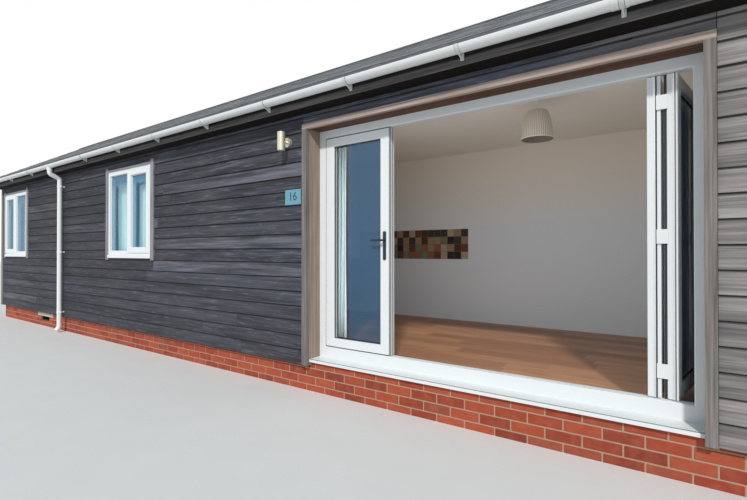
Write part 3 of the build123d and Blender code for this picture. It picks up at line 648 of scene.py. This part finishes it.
def shade_finish(middle, half):
    """Ribbed fabric with a paler band at the foot, with painted shade in the grooves between the
    ribs and inside.
    """
    f = Finish("shade_fabric")
    x, y = f.axis("X") - middle.x, f.axis("Y") - middle.y
    up = (f.axis("Z") - middle.z) / half
    rib = f.maths("COSINE", f.maths("ARCTAN2", y, x) * SHADE_RIBS)
    away = f.maths("SQRT", x * x + y * y)
    outline = shade_radius(up, f.larger(up - SHADE_SHOULDER, 0), rib)
    # Painted shade: the inside of the shade is darker.
    inside = away < outline - 1 * MM
    # Painted shade in the grooves between the ribs.
    tint = f.mix(f.ramp(rib, -0.2, 0.9) * 0.6, paint(206, 192, 176), paint(136, 124, 110))
    tint = f.mix(up < -0.93, tint, paint(214, 204, 192))
    return f.woven(f.mix(inside, tint, paint(112, 102, 92)))


def tile_finish():
    """Square glazed tiles, each one of a few earthy colours."""
    f = Finish("glazed_tiles")
    cloud = f.noise(30, 3)
    glazes = [(184, 164, 140), (92, 60, 46), (150, 104, 80), (54, 48, 46),
              (124, 128, 106), (116, 72, 54), (70, 66, 60), (160, 136, 110)]
    colour = f.colours(f.tone(), [(i / len(glazes), glaze) for i, glaze in enumerate(glazes)],
                       "CONSTANT")
    return f.surface(f.bright(colour, 0.7 + cloud * 0.3), 0.2, cloud, 0.3 * MM)


def enamel_finish(name, colour):
    f = Finish(name)
    fade = f.noise(18, 3)
    return f.surface(f.bright(paint(*colour), 0.9 + fade * 0.2), 0.35, fade, 0.1 * MM)


def stage_finish():
    """Pale floor that looks near white to the camera and keeps the shadow."""
    f = Finish("pale_stage")
    grit = f.noise(3, 2)
    return f.surface(f.mix(grit, paint(226, 226, 226), paint(232, 232, 232)), 0.9)


boards = boarding_finish("weathered_boards", (17, 19, 27), (37, 39, 50), (76, 78, 89))
# Painted light: the boards over the door take paler, bluer colours to offset the shade of the
# eaves.
over_door_boards_painted_lighter = boarding_finish("over_door_boards_painted_lighter", (46, 48, 60), (68, 70, 86), (118, 120, 134))
window_spans = [[corner.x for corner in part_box(f"{side}_window_frame")]
                for side in ("left", "right")]
upright_oak = surround_finish("surround_upright", [], (148, 130, 114), (116, 110, 107))
window_oak = surround_finish("surround_windows", window_spans, (134, 130, 130), (138, 137, 142))
# Painted shade: the head's shaded colour is a dark brown that stands for the shade under the head.
level_oak = surround_finish("surround_level", [(-9, 9)], (84, 49, 31), (168, 150, 142))
fascia = fascia_finish()
bricks = brick_finish()
mortar = mortar_finish()
concrete = mottled_finish("cast_concrete", (176, 168, 158), (222, 216, 206), 120, 5,
                          0.85, 0.8 * MM)
slates = slate_finish()
ridge_tiles = ridge_finish()
gutter_white = gutter_finish()
frame_white = plastic_finish("frame_white", (234, 238, 240), 0.25)
lamp_white = plastic_finish("lamp_white", (236, 232, 222), 0.35)
lamp_steel = metal_finish("lamp_steel", (222, 215, 194), 0.24)
handle_metal = metal_finish("dark_handle", (54, 60, 72), 0.3)
hinge_metal = metal_finish("hinge_white", (228, 230, 232), 0.35)
seal = mottled_finish("black_seal", (26, 28, 32), (52, 55, 60), 80, 2, 0.6, 0.1 * MM)
# The colours of the door, window and leaf glass are painted sky reflection.
door_glass = glass_finish("door_glass", (40, 88, 124), 0.68,
                          clear_side=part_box("traffic_door_glass")[0].x + 142 * MM)
# Stretches of each window pane where the painted sky reflection stays blue.
sky_reflection_spans = []
for side, share in (("left", 0.72), ("right", 0.25)):
    for pane in ("fixed", "casement"):
        pane_low, pane_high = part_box(f"{side}_window_{pane}_glass")
        sky_reflection_spans.append((pane_low.x, pane_low.x + (pane_high.x - pane_low.x) * share))
window_glass = glass_finish("window_glass", (78, 150, 190), 0.42,
                            clear_below=CURTAIN_TOP - 60 * MM, spans=sky_reflection_spans)
leaf_glass = glass_finish("leaf_glass", (150, 186, 208), 0.9)
plaster = plaster_finish("ceiling_paint", (234, 229, 217))
lined_wall = wall_finish()
laminate = laminate_finish()
aqua_cloth = cloth_finish("aqua_curtain", (214, 244, 244), (184, 226, 230))
pale_cloth = cloth_finish("pale_curtain", (204, 222, 220), (176, 196, 196))
shade_low, shade_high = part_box("pendant_shade")
shade_cloth = shade_finish((shade_low + shade_high) / 2, (shade_high.z - shade_low.z) / 2)
tiles = tile_finish()
grout = plaster_finish("dark_grout", (104, 92, 80))
plate_blue = enamel_finish("plate_blue", (104, 158, 178))
figure_blue = enamel_finish("figure_blue", (24, 62, 84))
sill_white = plastic_finish("sill_white", (234, 238, 240), 0.25, seam=SILL_SEAM)
stage = stage_finish()


def dress(material, *names):
    """Give CAD nodes their finish."""
    for name in names:
        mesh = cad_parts[name].data
        mesh.materials.clear()
        mesh.materials.append(material)


def add(piece, material, body=HOUSE):
    """Finish a new piece and let it ride."""
    piece.data.materials.clear()
    piece.data.materials.append(material)
    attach(piece, body)
    return piece


for side in ("front", "rear"):
    dress(mortar, f"{side}_plinth")
    dress(slates, f"{side}_roof_slope")
    dress(fascia, f"{side}_eaves_box")
    dress(gutter_white, f"{side}_gutter", f"{side}_downpipe")
for side in ("left", "right"):
    dress(mortar, f"{side}_plinth")
    dress(lined_wall, f"{side}_gable_wall", f"front_wall_{side}")
    dress(fascia, f"{side}_barge_board")
    dress(upright_oak, f"door_lining_{side}")
    dress(window_oak, f"{side}_window_trim")
    dress(frame_white, f"{side}_window_frame", f"{side}_window_casement")
    dress(window_glass, f"{side}_window_fixed_glass", f"{side}_window_casement_glass")
for leaf in FOLDED_TURNS:
    dress(frame_white, f"folding_leaf_{leaf}")
    dress(leaf_glass, f"folding_leaf_{leaf}_glass")
dress(lined_wall, "front_wall_over_door", "rear_wall")
dress(frame_white, "door_frame", "traffic_door")
dress(level_oak, "door_lining_head")
dress(sill_white, "door_sill")
dress(door_glass, "traffic_door_glass")
dress(handle_metal, "traffic_door_handle")
dress(concrete, "vent_lintel")
dress(laminate, "floor")
dress(plaster, "ceiling")
dress(lamp_steel, "wall_light")
dress(lamp_white, "pendant_lamp")


# Boarding

def board_master():
    """One metre of a sawn board that leans in at its top, with its lower lip eased."""
    board = block("board", (0, -BOARD_OUT, 0),
                  (1, -BOARD_OUT + BOARD_THICK, BOARD_PITCH + BOARD_LAP))
    lean = BOARD_OUT - BOARD_THICK - 1 * MM
    choose(board, lambda place: place.z > BOARD_PITCH)
    bpy.ops.transform.translate(value=(0, lean, 0))
    done(board)
    choose(board, lambda place: place.z < 1 * MM and place.y < -BOARD_OUT + 1 * MM, "EDGE")
    bpy.ops.mesh.bevel(offset=1.8 * MM, segments=2)
    return done(board)


def boarding(name, side, start, end, first_row, last_row):
    """Boards of a wall, with staggered butt joints, along its own left to right."""
    master = board_master()
    gap = 1.5 * MM
    least = 0.5                     # a shorter rest joins the board before it
    places = []
    for row in range(first_row, last_row):
        x = start
        length = random.uniform(1.2, 4.2)
        while x < end - 1 * MM:
            stop = min(end, x + length)
            if end - stop < least:
                stop = end
            jitter = random.uniform(-1.2, 1.2) * MM
            place = at(x, -FACES[side] + random.uniform(0, 0.6) * MM,
                       FIRST_BOARD + row * BOARD_PITCH + jitter)
            places.append(wall_turn(side) @ place @ stretched(stop - x - gap, 1, 1))
            x = stop
            length = random.uniform(2.4, 4.2)
    return repeat(name, master, places)


def rows_to(height):
    return math.ceil((height - FIRST_BOARD) / BOARD_PITCH)


def window_hole(piece, side):
    """Let the boards stop at the trim of a window."""
    low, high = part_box(f"{side}_window_trim")
    frame_low, frame_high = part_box(f"{side}_window_frame")
    head = 32 * MM
    outside, inside = -1.7, -1.5
    cut_out(piece, (low.x + 1 * MM, outside, frame_low.z),
            (high.x - 1 * MM, inside, frame_high.z + head))
    for start, end in ((low.x, frame_low.x), (frame_high.x, high.x)):
        cut_out(piece, (start, outside, low.z), (end, inside, high.z))


def front_boarding():
    left_end = -GABLE_FACE + CORNER_BOARD - BOARD_OUT
    rows = rows_to(SOFFIT)
    below_soffit = ((0, 0, SOFFIT - 1 * MM), (0, 0, 1))
    wall = boarding("front_boards_left", "front", left_end, surround_low.x, 0, rows)
    trim(wall, *below_soffit)
    window_hole(wall, "left")
    window_hole(wall, "right")
    add(wall, boards)

    over = boarding("front_boards_over_door", "front", surround_low.x, surround_far.x,
                    rows - 2, rows)
    trim(over, *below_soffit)
    trim(over, (0, 0, surround_head.z + 1 * MM), (0, 0, -1))
    # The boards over the door take the paler copy, painted light against the shade of the eaves.
    add(over, over_door_boards_painted_lighter)

    beside = boarding("front_boards_right", "front", surround_far.x + 2 * MM, -left_end, 0, rows)
    trim(beside, *below_soffit)
    add(beside, boards)


def rear_boarding():
    reach = GABLE_FACE - CORNER_BOARD + BOARD_OUT
    wall = boarding("rear_boards", "rear", -reach, reach, 0, rows_to(SOFFIT))
    trim(wall, (0, 0, SOFFIT - 1 * MM), (0, 0, 1))
    add(wall, boards)


def gable_boarding(side):
    reach = -WALL_FACE - CORNER_BOARD + BOARD_OUT
    top = APEX - RAFTERS
    wall = boarding(f"{side}_gable_boards", side, -reach, reach, 0, rows_to(top))
    for hand in (-1, 1):
        normal = (0, hand * math.sin(PITCH), math.cos(PITCH))
        trim(wall, (0, 0, top - 1 * MM), normal)
    add(wall, boards)


def corner_boards():
    """Two boards at each corner, one on each wall."""
    made = []
    proud = 4 * MM
    outer = -WALL_FACE + BOARD_OUT + proud
    end = GABLE_FACE + BOARD_OUT + proud
    foot = FIRST_BOARD - 6 * MM
    top = APEX - RAFTERS - 1 * MM
    for x_hand in (-1, 1):
        for y_hand in (-1, 1):
            on_front = block("corner", (end - CORNER_BOARD, -outer, foot),
                             (end, WALL_FACE, SOFFIT - 1 * MM))
            on_gable = block("corner", (GABLE_FACE, WALL_FACE, foot),
                             (end, WALL_FACE + CORNER_BOARD - BOARD_OUT, APEX))
            trim(on_gable, (0, 0, top), (0, -math.sin(PITCH), math.cos(PITCH)))
            for board in (on_front, on_gable):
                ease(board, 1.5 * MM)
                board.data.transform(stretched(x_hand, -y_hand, 1))
                if x_hand == y_hand:
                    choose(board)
                    bpy.ops.mesh.normals_make_consistent(inside=False)
                    done(board)
                made.append(board)
    add(join("corner_boards", made), upright_oak)


front_boarding()
rear_boarding()
gable_boarding("left")
gable_boarding("right")
corner_boards()


def nails():
    """Small nail heads above the lip of each board, on each stud."""
    head = rod("nail", 6, 3.2 * MM, 1.4 * MM, turn=(math.radians(90), 0, 0))
    lift = 26 * MM
    out = BOARD_OUT - 2 * MM
    places = []
    for side, face in FACES.items():
        reach = GABLE_FACE if side in ("front", "rear") else 1.4
        for stud in range(int(2 * reach / STUD_PITCH)):
            x = -reach + (stud + 0.6) * STUD_PITCH
            for row in range(rows_to(SOFFIT) - 1):
                z = FIRST_BOARD + row * BOARD_PITCH + lift
                if side == "front" and blocked(x, z):
                    continue
                sway = random.uniform(-6, 6) * MM
                places.append(wall_turn(side) @ at(x + sway, -face - out, z))
    add(repeat("board_nails", head, places), handle_metal)


def blocked(x, z):
    """Whether a window or the door set is there on the front."""
    near = 20 * MM
    for node in ("left_window_trim", "right_window_trim"):
        low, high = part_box(node)
        if low.x - near < x < high.x + near and low.z - 2 * near < z < high.z + near:
            return True
    return surround_low.x - near < x < surround_far.x + near


nails()


# Bricks

def brick_master():
    """A brick face that stands a little out of the mortar."""
    proud = 3.5 * MM
    brick = block("brick", (0, -proud, 0), (BRICK[0], 6 * MM, BRICK[1]))
    return ease(brick, 2.5 * MM)


def brickwork(side, face, end, top):
    """Stretcher bond on one side of the plinth, from minus its end to its end."""
    turn = wall_turn(side)
    module, course_height = (size + BRICK_JOINT for size in BRICK)
    places = []
    for course in range(math.ceil((top - FIRST_BRICK) / course_height)):
        z = FIRST_BRICK + course * course_height
        x = -end - (module / 2 if course % 2 else 0)
        while x < end:
            places.append(turn @ at(x, -face, z))
            x += module
    wall = repeat(f"{side}_bricks", brick_master(), places)
    trim(wall, (0, 0, 0.2 * MM), (0, 0, -1))
    trim(wall, (0, 0, top), (0, 0, 1))
    for hand in (1, -1):
        trim(wall, turn @ Vector((hand * end, 0, 0)), turn @ Vector((hand, 0, 0)))
    return wall


def plinth_bricks():
    """Bricks round the plinth, open at the vent and cut under the boards and the sill."""
    face = -plinth_low.y
    end = plinth_high.x
    top = WALL_FOOT - 0.2 * MM
    above = 0.3
    vent_low, vent_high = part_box("vent_lintel")
    vent = (vent_low.x + vent_high.x) / 2
    vent_half = 180 * MM
    gap = 5 * MM
    front = brickwork("front", face, end, sill_low.z - 1 * MM)
    for left, right, foot, head in (
            (vent - vent_half, vent + vent_half, 92 * MM, 170 * MM),
            (vent_low.x - gap, vent_high.x + gap, vent_low.z, above),
            (-6, sill_low.x, top, above),
            (sill_high.x, 6, top, above)):
        cut_out(front, (left, -2, foot), (right, 0, head))
    add(front, bricks)
    add(brickwork("rear", face, end, top), bricks)
    for side in ("left", "right"):
        add(brickwork(side, end, face, top), bricks)


plinth_bricks()


# Roof

def slope_place(side, x, up, out):
    """A place on a roof slope: along it, up it from the eaves, and out from the slates."""
    turn = wall_turn(side)
    eaves = at(0, EAVES_EDGE, APEX - abs(EAVES_EDGE) * math.tan(PITCH))
    return turn @ eaves @ Matrix.Rotation(PITCH, 4, "X") @ at(x, up, out)


def slating(side):
    """Slates of one roof slope, each course lapped over the one below."""
    length = SLATE[1] + SLATE_LAP
    slate = block("slate", (1 * MM, 0, -5 * MM), (SLATE[0] - 1 * MM, length, 0))
    choose(slate, lambda place: place.y > length / 2)
    bpy.ops.transform.translate(value=(0, 0, -SLATE_TAIL + 0.5 * MM))
    done(slate)
    reach = ridge_high.x - 2 * MM
    rise = abs(EAVES_EDGE) / math.cos(PITCH)
    places = []
    for row in range(math.ceil(rise / SLATE[1])):
        x = -reach - (SLATE[0] / 2 if row % 2 else 0)
        while x < reach:
            tilt = random.uniform(-0.6, 0.6) * MM
            places.append(slope_place(side, x, row * SLATE[1], SLATE_TAIL + tilt))
            x += SLATE[0]
    roof = repeat(f"{side}_slates", slate, places)
    turn = wall_turn(side)
    for hand in (-1, 1):
        trim(roof, (hand * reach, 0, 0), (hand, 0, 0))
    trim(roof, (0, 0, 0), turn @ Vector((0, 1, 0)))
    add(roof, slates)


def ridge():
    """Angle tiles bedded end to end."""
    leg = 150 * MM
    thick = 16 * MM
    run = leg * math.cos(PITCH)
    tile = panel("ridge_tile", RIDGE_TILE - 4 * MM, 2 * run)
    tile.data.transform(Matrix.Rotation(math.radians(-90), 4, "X"))
    choose(tile)
    bpy.ops.mesh.subdivide(number_cuts=1)
    done(tile)
    choose(tile, lambda place: abs(place.y) > run / 2)
    bpy.ops.transform.translate(value=(0, 0, -leg * math.sin(PITCH)))
    done(tile)
    use(tile, "SOLIDIFY", thickness=thick, offset=1, use_even_offset=True)
    ease(tile, 1.5 * MM)
    length = ridge_high.x - ridge_low.x
    count = int(length / RIDGE_TILE)
    step = length / count
    places = [at(ridge_low.x + (i + 0.5) * step, 0, APEX) @ stretched(step / RIDGE_TILE, 1, 1)
              for i in range(count)]
    piece = add(repeat("ridge_tiles", tile, places), ridge_tiles)
    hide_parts("ridge_capping")


slating("front")
slating("rear")
ridge()


def gutter_gussets(side):
    """A thin gusset under each bracket, from the strap down to the foot of its plate."""
    low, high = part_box("front_gutter")
    outer, fascia_face = low.y, eaves_low.y
    radius = (fascia_face - outer) / 2
    axis_y, rim = outer + radius, high.z - 14 * MM
    foot = rim - 80 * MM
    gusset = block("gusset", (-3.5 * MM, outer, foot), (3.5 * MM, fascia_face, rim - 14 * MM))
    lean = math.radians(64)
    touch = Vector((0, axis_y - radius * math.cos(lean), rim - radius * math.sin(lean)))
    run = Vector((0, fascia_face - 4 * MM, foot)) - touch
    trim(gusset, touch, (0, run.z, -run.y))
    trim(gusset, touch, (0, -1, 0))
    subtract(gusset, rod("trough", 64, radius - 4.5 * MM, 0.1, (0, axis_y, rim),
                         (0, math.radians(90), 0)))
    places = [wall_turn(side) @ at(x if side == "front" else -x, 0, 0) for x in BRACKETS]
    add(repeat(f"{side}_gutter_gussets", gusset, places), gutter_white)


gutter_gussets("front")
gutter_gussets("rear")


# Seals and small fittings of the door set

def ring(name, width, height, edge, thick):
    """A flat rectangular ring in the XZ plane, its front at y = 0, about its middle."""
    piece = panel(name, width, height)
    choose(piece, kind="FACE")
    bpy.ops.mesh.inset(thickness=edge)
    bpy.ops.mesh.delete(type="FACE")
    done(piece)
    return use(piece, "SOLIDIFY", thickness=thick, offset=-1)


def pane_seals(name, pane, size, edge, body=HOUSE, turn=0):
    """Seals on both faces of a pane, given its width, depth and height, and its turn."""
    low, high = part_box(pane)
    width, depth, height = size
    stand = at(*((low + high) / 2)) @ Matrix.Rotation(math.radians(turn), 4, "Z")
    thick = 3 * MM
    made = []
    for y in (-depth / 2 - thick, depth / 2):
        piece = ring(name, width, height, edge, thick)
        piece.data.transform(stand @ at(0, y, 0))
        made.append(piece)
    return add(join(name, made), seal, body)


def square_pane_seals(name, pane, edge, body=HOUSE):
    """Seals of a pane that stands square to the front."""
    low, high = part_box(pane)
    margin = Vector((0.4, 0, 0.4)) * MM
    return pane_seals(name, pane, high - low - margin, edge, body)


square_pane_seals("traffic_door_seal", "traffic_door_glass", 7 * MM, DOOR)
for side in ("left", "right"):
    for pane in ("fixed", "casement"):
        light = f"{side}_window_{pane}"
        bead = square_pane_seals(f"{light}_bead", f"{light}_glass", 5 * MM)
        bead.data.materials[0] = frame_white
for leaf, turn in FOLDED_TURNS.items():
    size = (LEAF_PANE[0] - 1 * MM, PANE_THICK, LEAF_PANE[1] - 1 * MM)
    pane_seals(f"folding_leaf_{leaf}_seal", f"folding_leaf_{leaf}_glass", size, 8 * MM, turn=turn)


def edge_strips():
    """Strips on the edges of the leaves that face out of the room: grey weather seals, and black
    ones that are partly seals and partly painted shade widening the slot between the leaves.
    """
    leaf_low, leaf_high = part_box("folding_leaf_3")
    foot, top = leaf_low.z, leaf_high.z
    pane_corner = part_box("folding_leaf_1_glass")[0]
    side = pane_corner.x - (LEAF_THICK - PANE_THICK) / 2
    near = pane_corner.y - STILE
    grey = [block("strip", (side + 31 * MM, near - SEAL_PROUD, foot), (side + 43 * MM, near, top))]
    # Black strips: partly seals, partly painted shade that widens the slot between the leaves.
    black = [block("strip", (side + 43 * MM, near - 2 * SEAL_PROUD, foot),
                   (side + 51 * MM, near, top))]
    pane_low, pane_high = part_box("folding_leaf_2_glass")
    middle = (pane_low + pane_high) / 2
    turn = Matrix.Rotation(math.radians(FOLDED_TURNS[2]), 4, "Z")
    half = LEAF_PANE[0] / 2 + STILE
    for strips, start, end in ((black, 1, 16), (grey, 43, 55), (black, 55, 60)):
        strip = block("strip", (-half - SEAL_PROUD, LEAF_THICK / 2 - end * MM, foot - middle.z),
                      (-half, LEAF_THICK / 2 - start * MM, top - middle.z))
        strip.data.transform(at(*middle) @ turn)
        strips.append(strip)
    add(join("leaf_edge_strips", grey), hinge_metal)
    add(join("leaf_edge_seals_and_slot_shade", black), seal)


def lock_edge_strips():
    """Two seals down the lock edge of the traffic door."""
    low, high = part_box("traffic_door")
    glass_low, glass_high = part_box("traffic_door_glass")
    edge = glass_high.x + STILE
    middle = (glass_low.y + glass_high.y) / 2
    strips = [block("strip", (edge, y, low.z), (edge + SEAL_PROUD, y + 7 * MM, high.z))
              for y in (middle - 22 * MM, middle + 10 * MM)]
    add(join("lock_edge_seals", strips), seal, DOOR)


def door_edge_seal_and_gap_shade():
    """A thin dark ring round the traffic door, in its joint with the frame: partly a seal, partly
    painted shade of the gap.
    """
    low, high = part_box("traffic_door")
    glass_low, glass_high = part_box("traffic_door_glass")
    left, right = glass_low.x - STILE, glass_high.x + STILE
    piece = ring("door_edge_seal_and_gap_shade", right - left, high.z - low.z, 5 * MM, SEAL_PROUD)
    piece.data.transform(at((left + right) / 2, low.y, (low.z + high.z) / 2))
    add(piece, seal, DOOR)


edge_strips()
lock_edge_strips()
door_edge_seal_and_gap_shade()


# Curtains

def pleated(name, material, start, end, y, foot, top, pleats, swing, heading=0):
    """A hung cloth with round folds, gathered to a heading."""
    deselect()
    columns = pleats * 10
    rows = 16
    bpy.ops.mesh.primitive_grid_add(x_subdivisions=columns, y_subdivisions=rows, size=1,
                                    rotation=(math.radians(90), 0, 0))
    cloth = settle(bpy.context.object)
    cloth.name = name
    width = end - start
    height = top - foot
    drift = random.uniform(0, 6)
    for vertex in cloth.data.vertices:
        u = vertex.co.x + 0.5
        v = vertex.co.z + 0.5
        fold = math.sin(2 * math.pi * pleats * u + 0.5 * math.sin(5 * v + drift))
        depth = swing * (0.55 + 0.45 * (1 - v)) * fold
        sway = 0.25 * width / pleats * math.sin(2.3 * u * pleats + 3 * v + drift) * (1 - v)
        peak = heading * abs(2 * ((0.8 * pleats * u) % 1) - 1) * (v > 0.99)
        vertex.co = (start + u * width + sway * (0 < u < 1), y + depth, foot + v * height + peak)
    pick(cloth)
    bpy.ops.object.shade_smooth()
    use(cloth, "SOLIDIFY", thickness=0.8 * MM, offset=0)
    return add(cloth, material)


def rail(start, end, y, z):
    piece = rod("rail", 12, 6 * MM, end - start, ((start + end) / 2, y, z),
                (0, math.radians(90), 0))
    return ease(piece, 1 * MM)


def curtains():
    """Two cloths behind each window and one beside the door, each on its rail."""
    rails = []
    for side in ("left", "right"):
        node = f"{side}_window_curtain"
        low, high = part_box(node)
        y = (low.y + high.y) / 2
        width = high.x - low.x
        rails.append(rail(low.x - 11 * MM, high.x + 11 * MM, y, CURTAIN_TOP + 10 * MM))
        for hand, start, end, pleats in (("left", low.x, low.x + 0.36 * width, 6),
                                         ("right", low.x + 0.53 * width, high.x, 8)):
            cloth = pleated(f"{node}_{hand}", aqua_cloth, start, end, y, low.z + 4 * MM,
                            CURTAIN_TOP, pleats, 11 * MM, CURTAIN_HEADING)
            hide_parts(node)
    low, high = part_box("door_curtain")
    y = (low.y + high.y) / 2
    rails.append(rail(low.x - 0.4, high.x + 0.02, y, high.z - 30 * MM))
    beside = pleated("door_curtain_cloth", pale_cloth, low.x, high.x, y, low.z,
                     high.z - 40 * MM, 5, 24 * MM)
    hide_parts("door_curtain")
    add(join("curtain_rails", rails), lamp_white)


curtains()


# Lamp shade, splashback and number plate

def lamp_shade():
    """Fabric shade with ribs all round, rounded in towards its top."""
    middle = (shade_low + shade_high) / 2
    half = (shade_high.z - shade_low.z) / 2
    shade = rod("lamp_shade", SHADE_RIBS * 4, 1, 2 * half, ends="NOTHING")
    for edge in shade.data.edges:
        ends = [shade.data.vertices[i].co.z for i in edge.vertices]
        edge.select = abs(ends[0] - ends[1]) > 1 * MM
    bpy.ops.object.mode_set(mode="EDIT")
    bpy.ops.mesh.subdivide(number_cuts=11)
    done(shade)
    for vertex in shade.data.vertices:
        up = vertex.co.z / half
        turn = math.atan2(vertex.co.y, vertex.co.x)
        rib = math.cos(SHADE_RIBS * turn)
        radius = shade_radius(up, max(0, up - SHADE_SHOULDER), rib)
        vertex.co = (middle.x + radius * math.cos(turn), middle.y + radius * math.sin(turn),
                     middle.z + vertex.co.z)
    use(shade, "SOLIDIFY", thickness=2 * MM, offset=-1)
    pick(shade)
    bpy.ops.object.shade_smooth_by_angle(angle=math.radians(50))
    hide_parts("pendant_shade")
    add(shade, shade_cloth)


def splashback():
    """Four rows of square tiles on the rear wall, and the grout that they stand in."""
    right_edge, foot = 2.83, 1.17
    size, joint = 100 * MM, 5 * MM
    columns, rows = 18, 4
    step = size + joint
    tile = block("tile", (0, -7 * MM, 0), (size, 0, size))
    ease(tile, 1.5 * MM)
    places = [at(right_edge - (column + 1) * step, ROOM_REAR, foot + row * step)
              for column in range(columns) for row in range(rows)]
    add(repeat("splashback_tiles", tile, places), tiles)
    bed = block("splashback_grout", (right_edge - columns * step, ROOM_REAR - 4 * MM, foot),
                (right_edge - joint, ROOM_REAR, foot + rows * step - joint))
    add(ease(bed, 0.5 * MM), grout)


def number_plate():
    """A small enamelled plate beside the door, with a plain number."""
    left, right, foot, top = 2.300, 2.506, 1.700, 1.840
    face = WALL_FACE - BOARD_OUT
    plate = block("number_plate", (left, face - 5 * MM, foot), (right, face + 1 * MM, top))
    ease(plate, 1.5 * MM, 2)
    add(plate, plate_blue)
    deselect()
    bpy.ops.object.text_add(rotation=(math.radians(90), 0, 0))
    text = bpy.context.object.data
    text.body = "16"
    text.size = 110 * MM
    text.align_x = text.align_y = "CENTER"
    text.extrude = 0.6 * MM
    bpy.ops.object.convert(target="MESH")
    figures = bpy.context.object
    figures.location = ((left + right) / 2, face - 5.4 * MM, (foot + top) / 2 + 4 * MM)
    settle(figures)
    figures.name = "plate_number"
    add(figures, figure_blue)


lamp_shade()
splashback()
number_plate()


# Stage, light and camera

def lay_stage():
    """A plain floor, just below the foot of the plinth."""
    deselect()
    bpy.ops.mesh.primitive_plane_add(size=160, location=(0, 0, -0.4 * MM))
    floor = bpy.context.object
    floor.name = "stage_floor"
    floor.data.materials.append(stage)


def aimed(direction):
    """The turn that aims a lamp or the camera along a direction."""
    return Vector(direction).to_track_quat("-Z", "Y").to_euler()


def place_in_scene(name, data, turn, place=(0, 0, 0)):
    """Put a lamp or the camera into the scene."""
    thing = bpy.data.objects.new(name, data)
    bpy.context.scene.collection.objects.link(thing)
    thing.rotation_euler = turn
    thing.location = place
    return thing


def room_lamp(name, width, height, energy, turn, place, colour=(1, 1, 1)):
    """A soft lamp in the room, which isn't seen itself."""
    data = bpy.data.lights.new(name, "AREA")
    data.shape = "RECTANGLE"
    data.size = width
    data.size_y = height
    data.energy = energy
    data.color = colour
    lamp = place_in_scene(name, data, turn, place)
    lamp.visible_camera = False
    lamp.visible_glossy = False


def light_up():
    """A broad soft sun from the front right, two lamps in the room, and a white surround."""
    sun = bpy.data.lights.new("key", "SUN")
    sun.energy = 2.45
    sun.color = (1, 0.97, 0.92)
    sun.angle = math.radians(4.5)
    place_in_scene("key", sun, aimed((-0.354, 0.612, -0.535)))
    room_lamp("room_fill", 2.6, 1.6, 14, (math.radians(90), 0, 0), (4.0, -1.2, 1.3),
              (0.92, 0.96, 1))
    room_lamp("curtain_fill", 0.08, 1.7, 3, aimed((-0.75, 0.66, 0)), (2.78, -1.24, 1.35))
    world = bpy.data.worlds.new("surround")
    bpy.context.scene.world = world
    light = Nodes(world)
    camera, gloss, glass = (light.make("LightPath", out=f"Is {kind} Ray")
                            for kind in ("Camera", "Glossy", "Transmission"))
    seen = light.larger(light.larger(camera, gloss), glass)
    light.show("OutputWorld", light.make("Background", {
        "Color": light.mix(seen, (0.77, 0.9, 1, 1), (1, 1, 1, 1)),
        "Strength": light.make("MapRange", {"Value": seen, "To Min": 0.44})}))


def set_camera():
    data = bpy.data.cameras.new("camera")
    data.lens = 22.4
    data.sensor_width = 36
    bpy.context.scene.camera = place_in_scene("camera", data, aimed((-0.596, 0.803, 0.0065)),
                                              (5.56, -4.557, 1.254))


lay_stage()
light_up()
set_camera()
bpy.context.scene.view_settings.view_transform = "Standard"
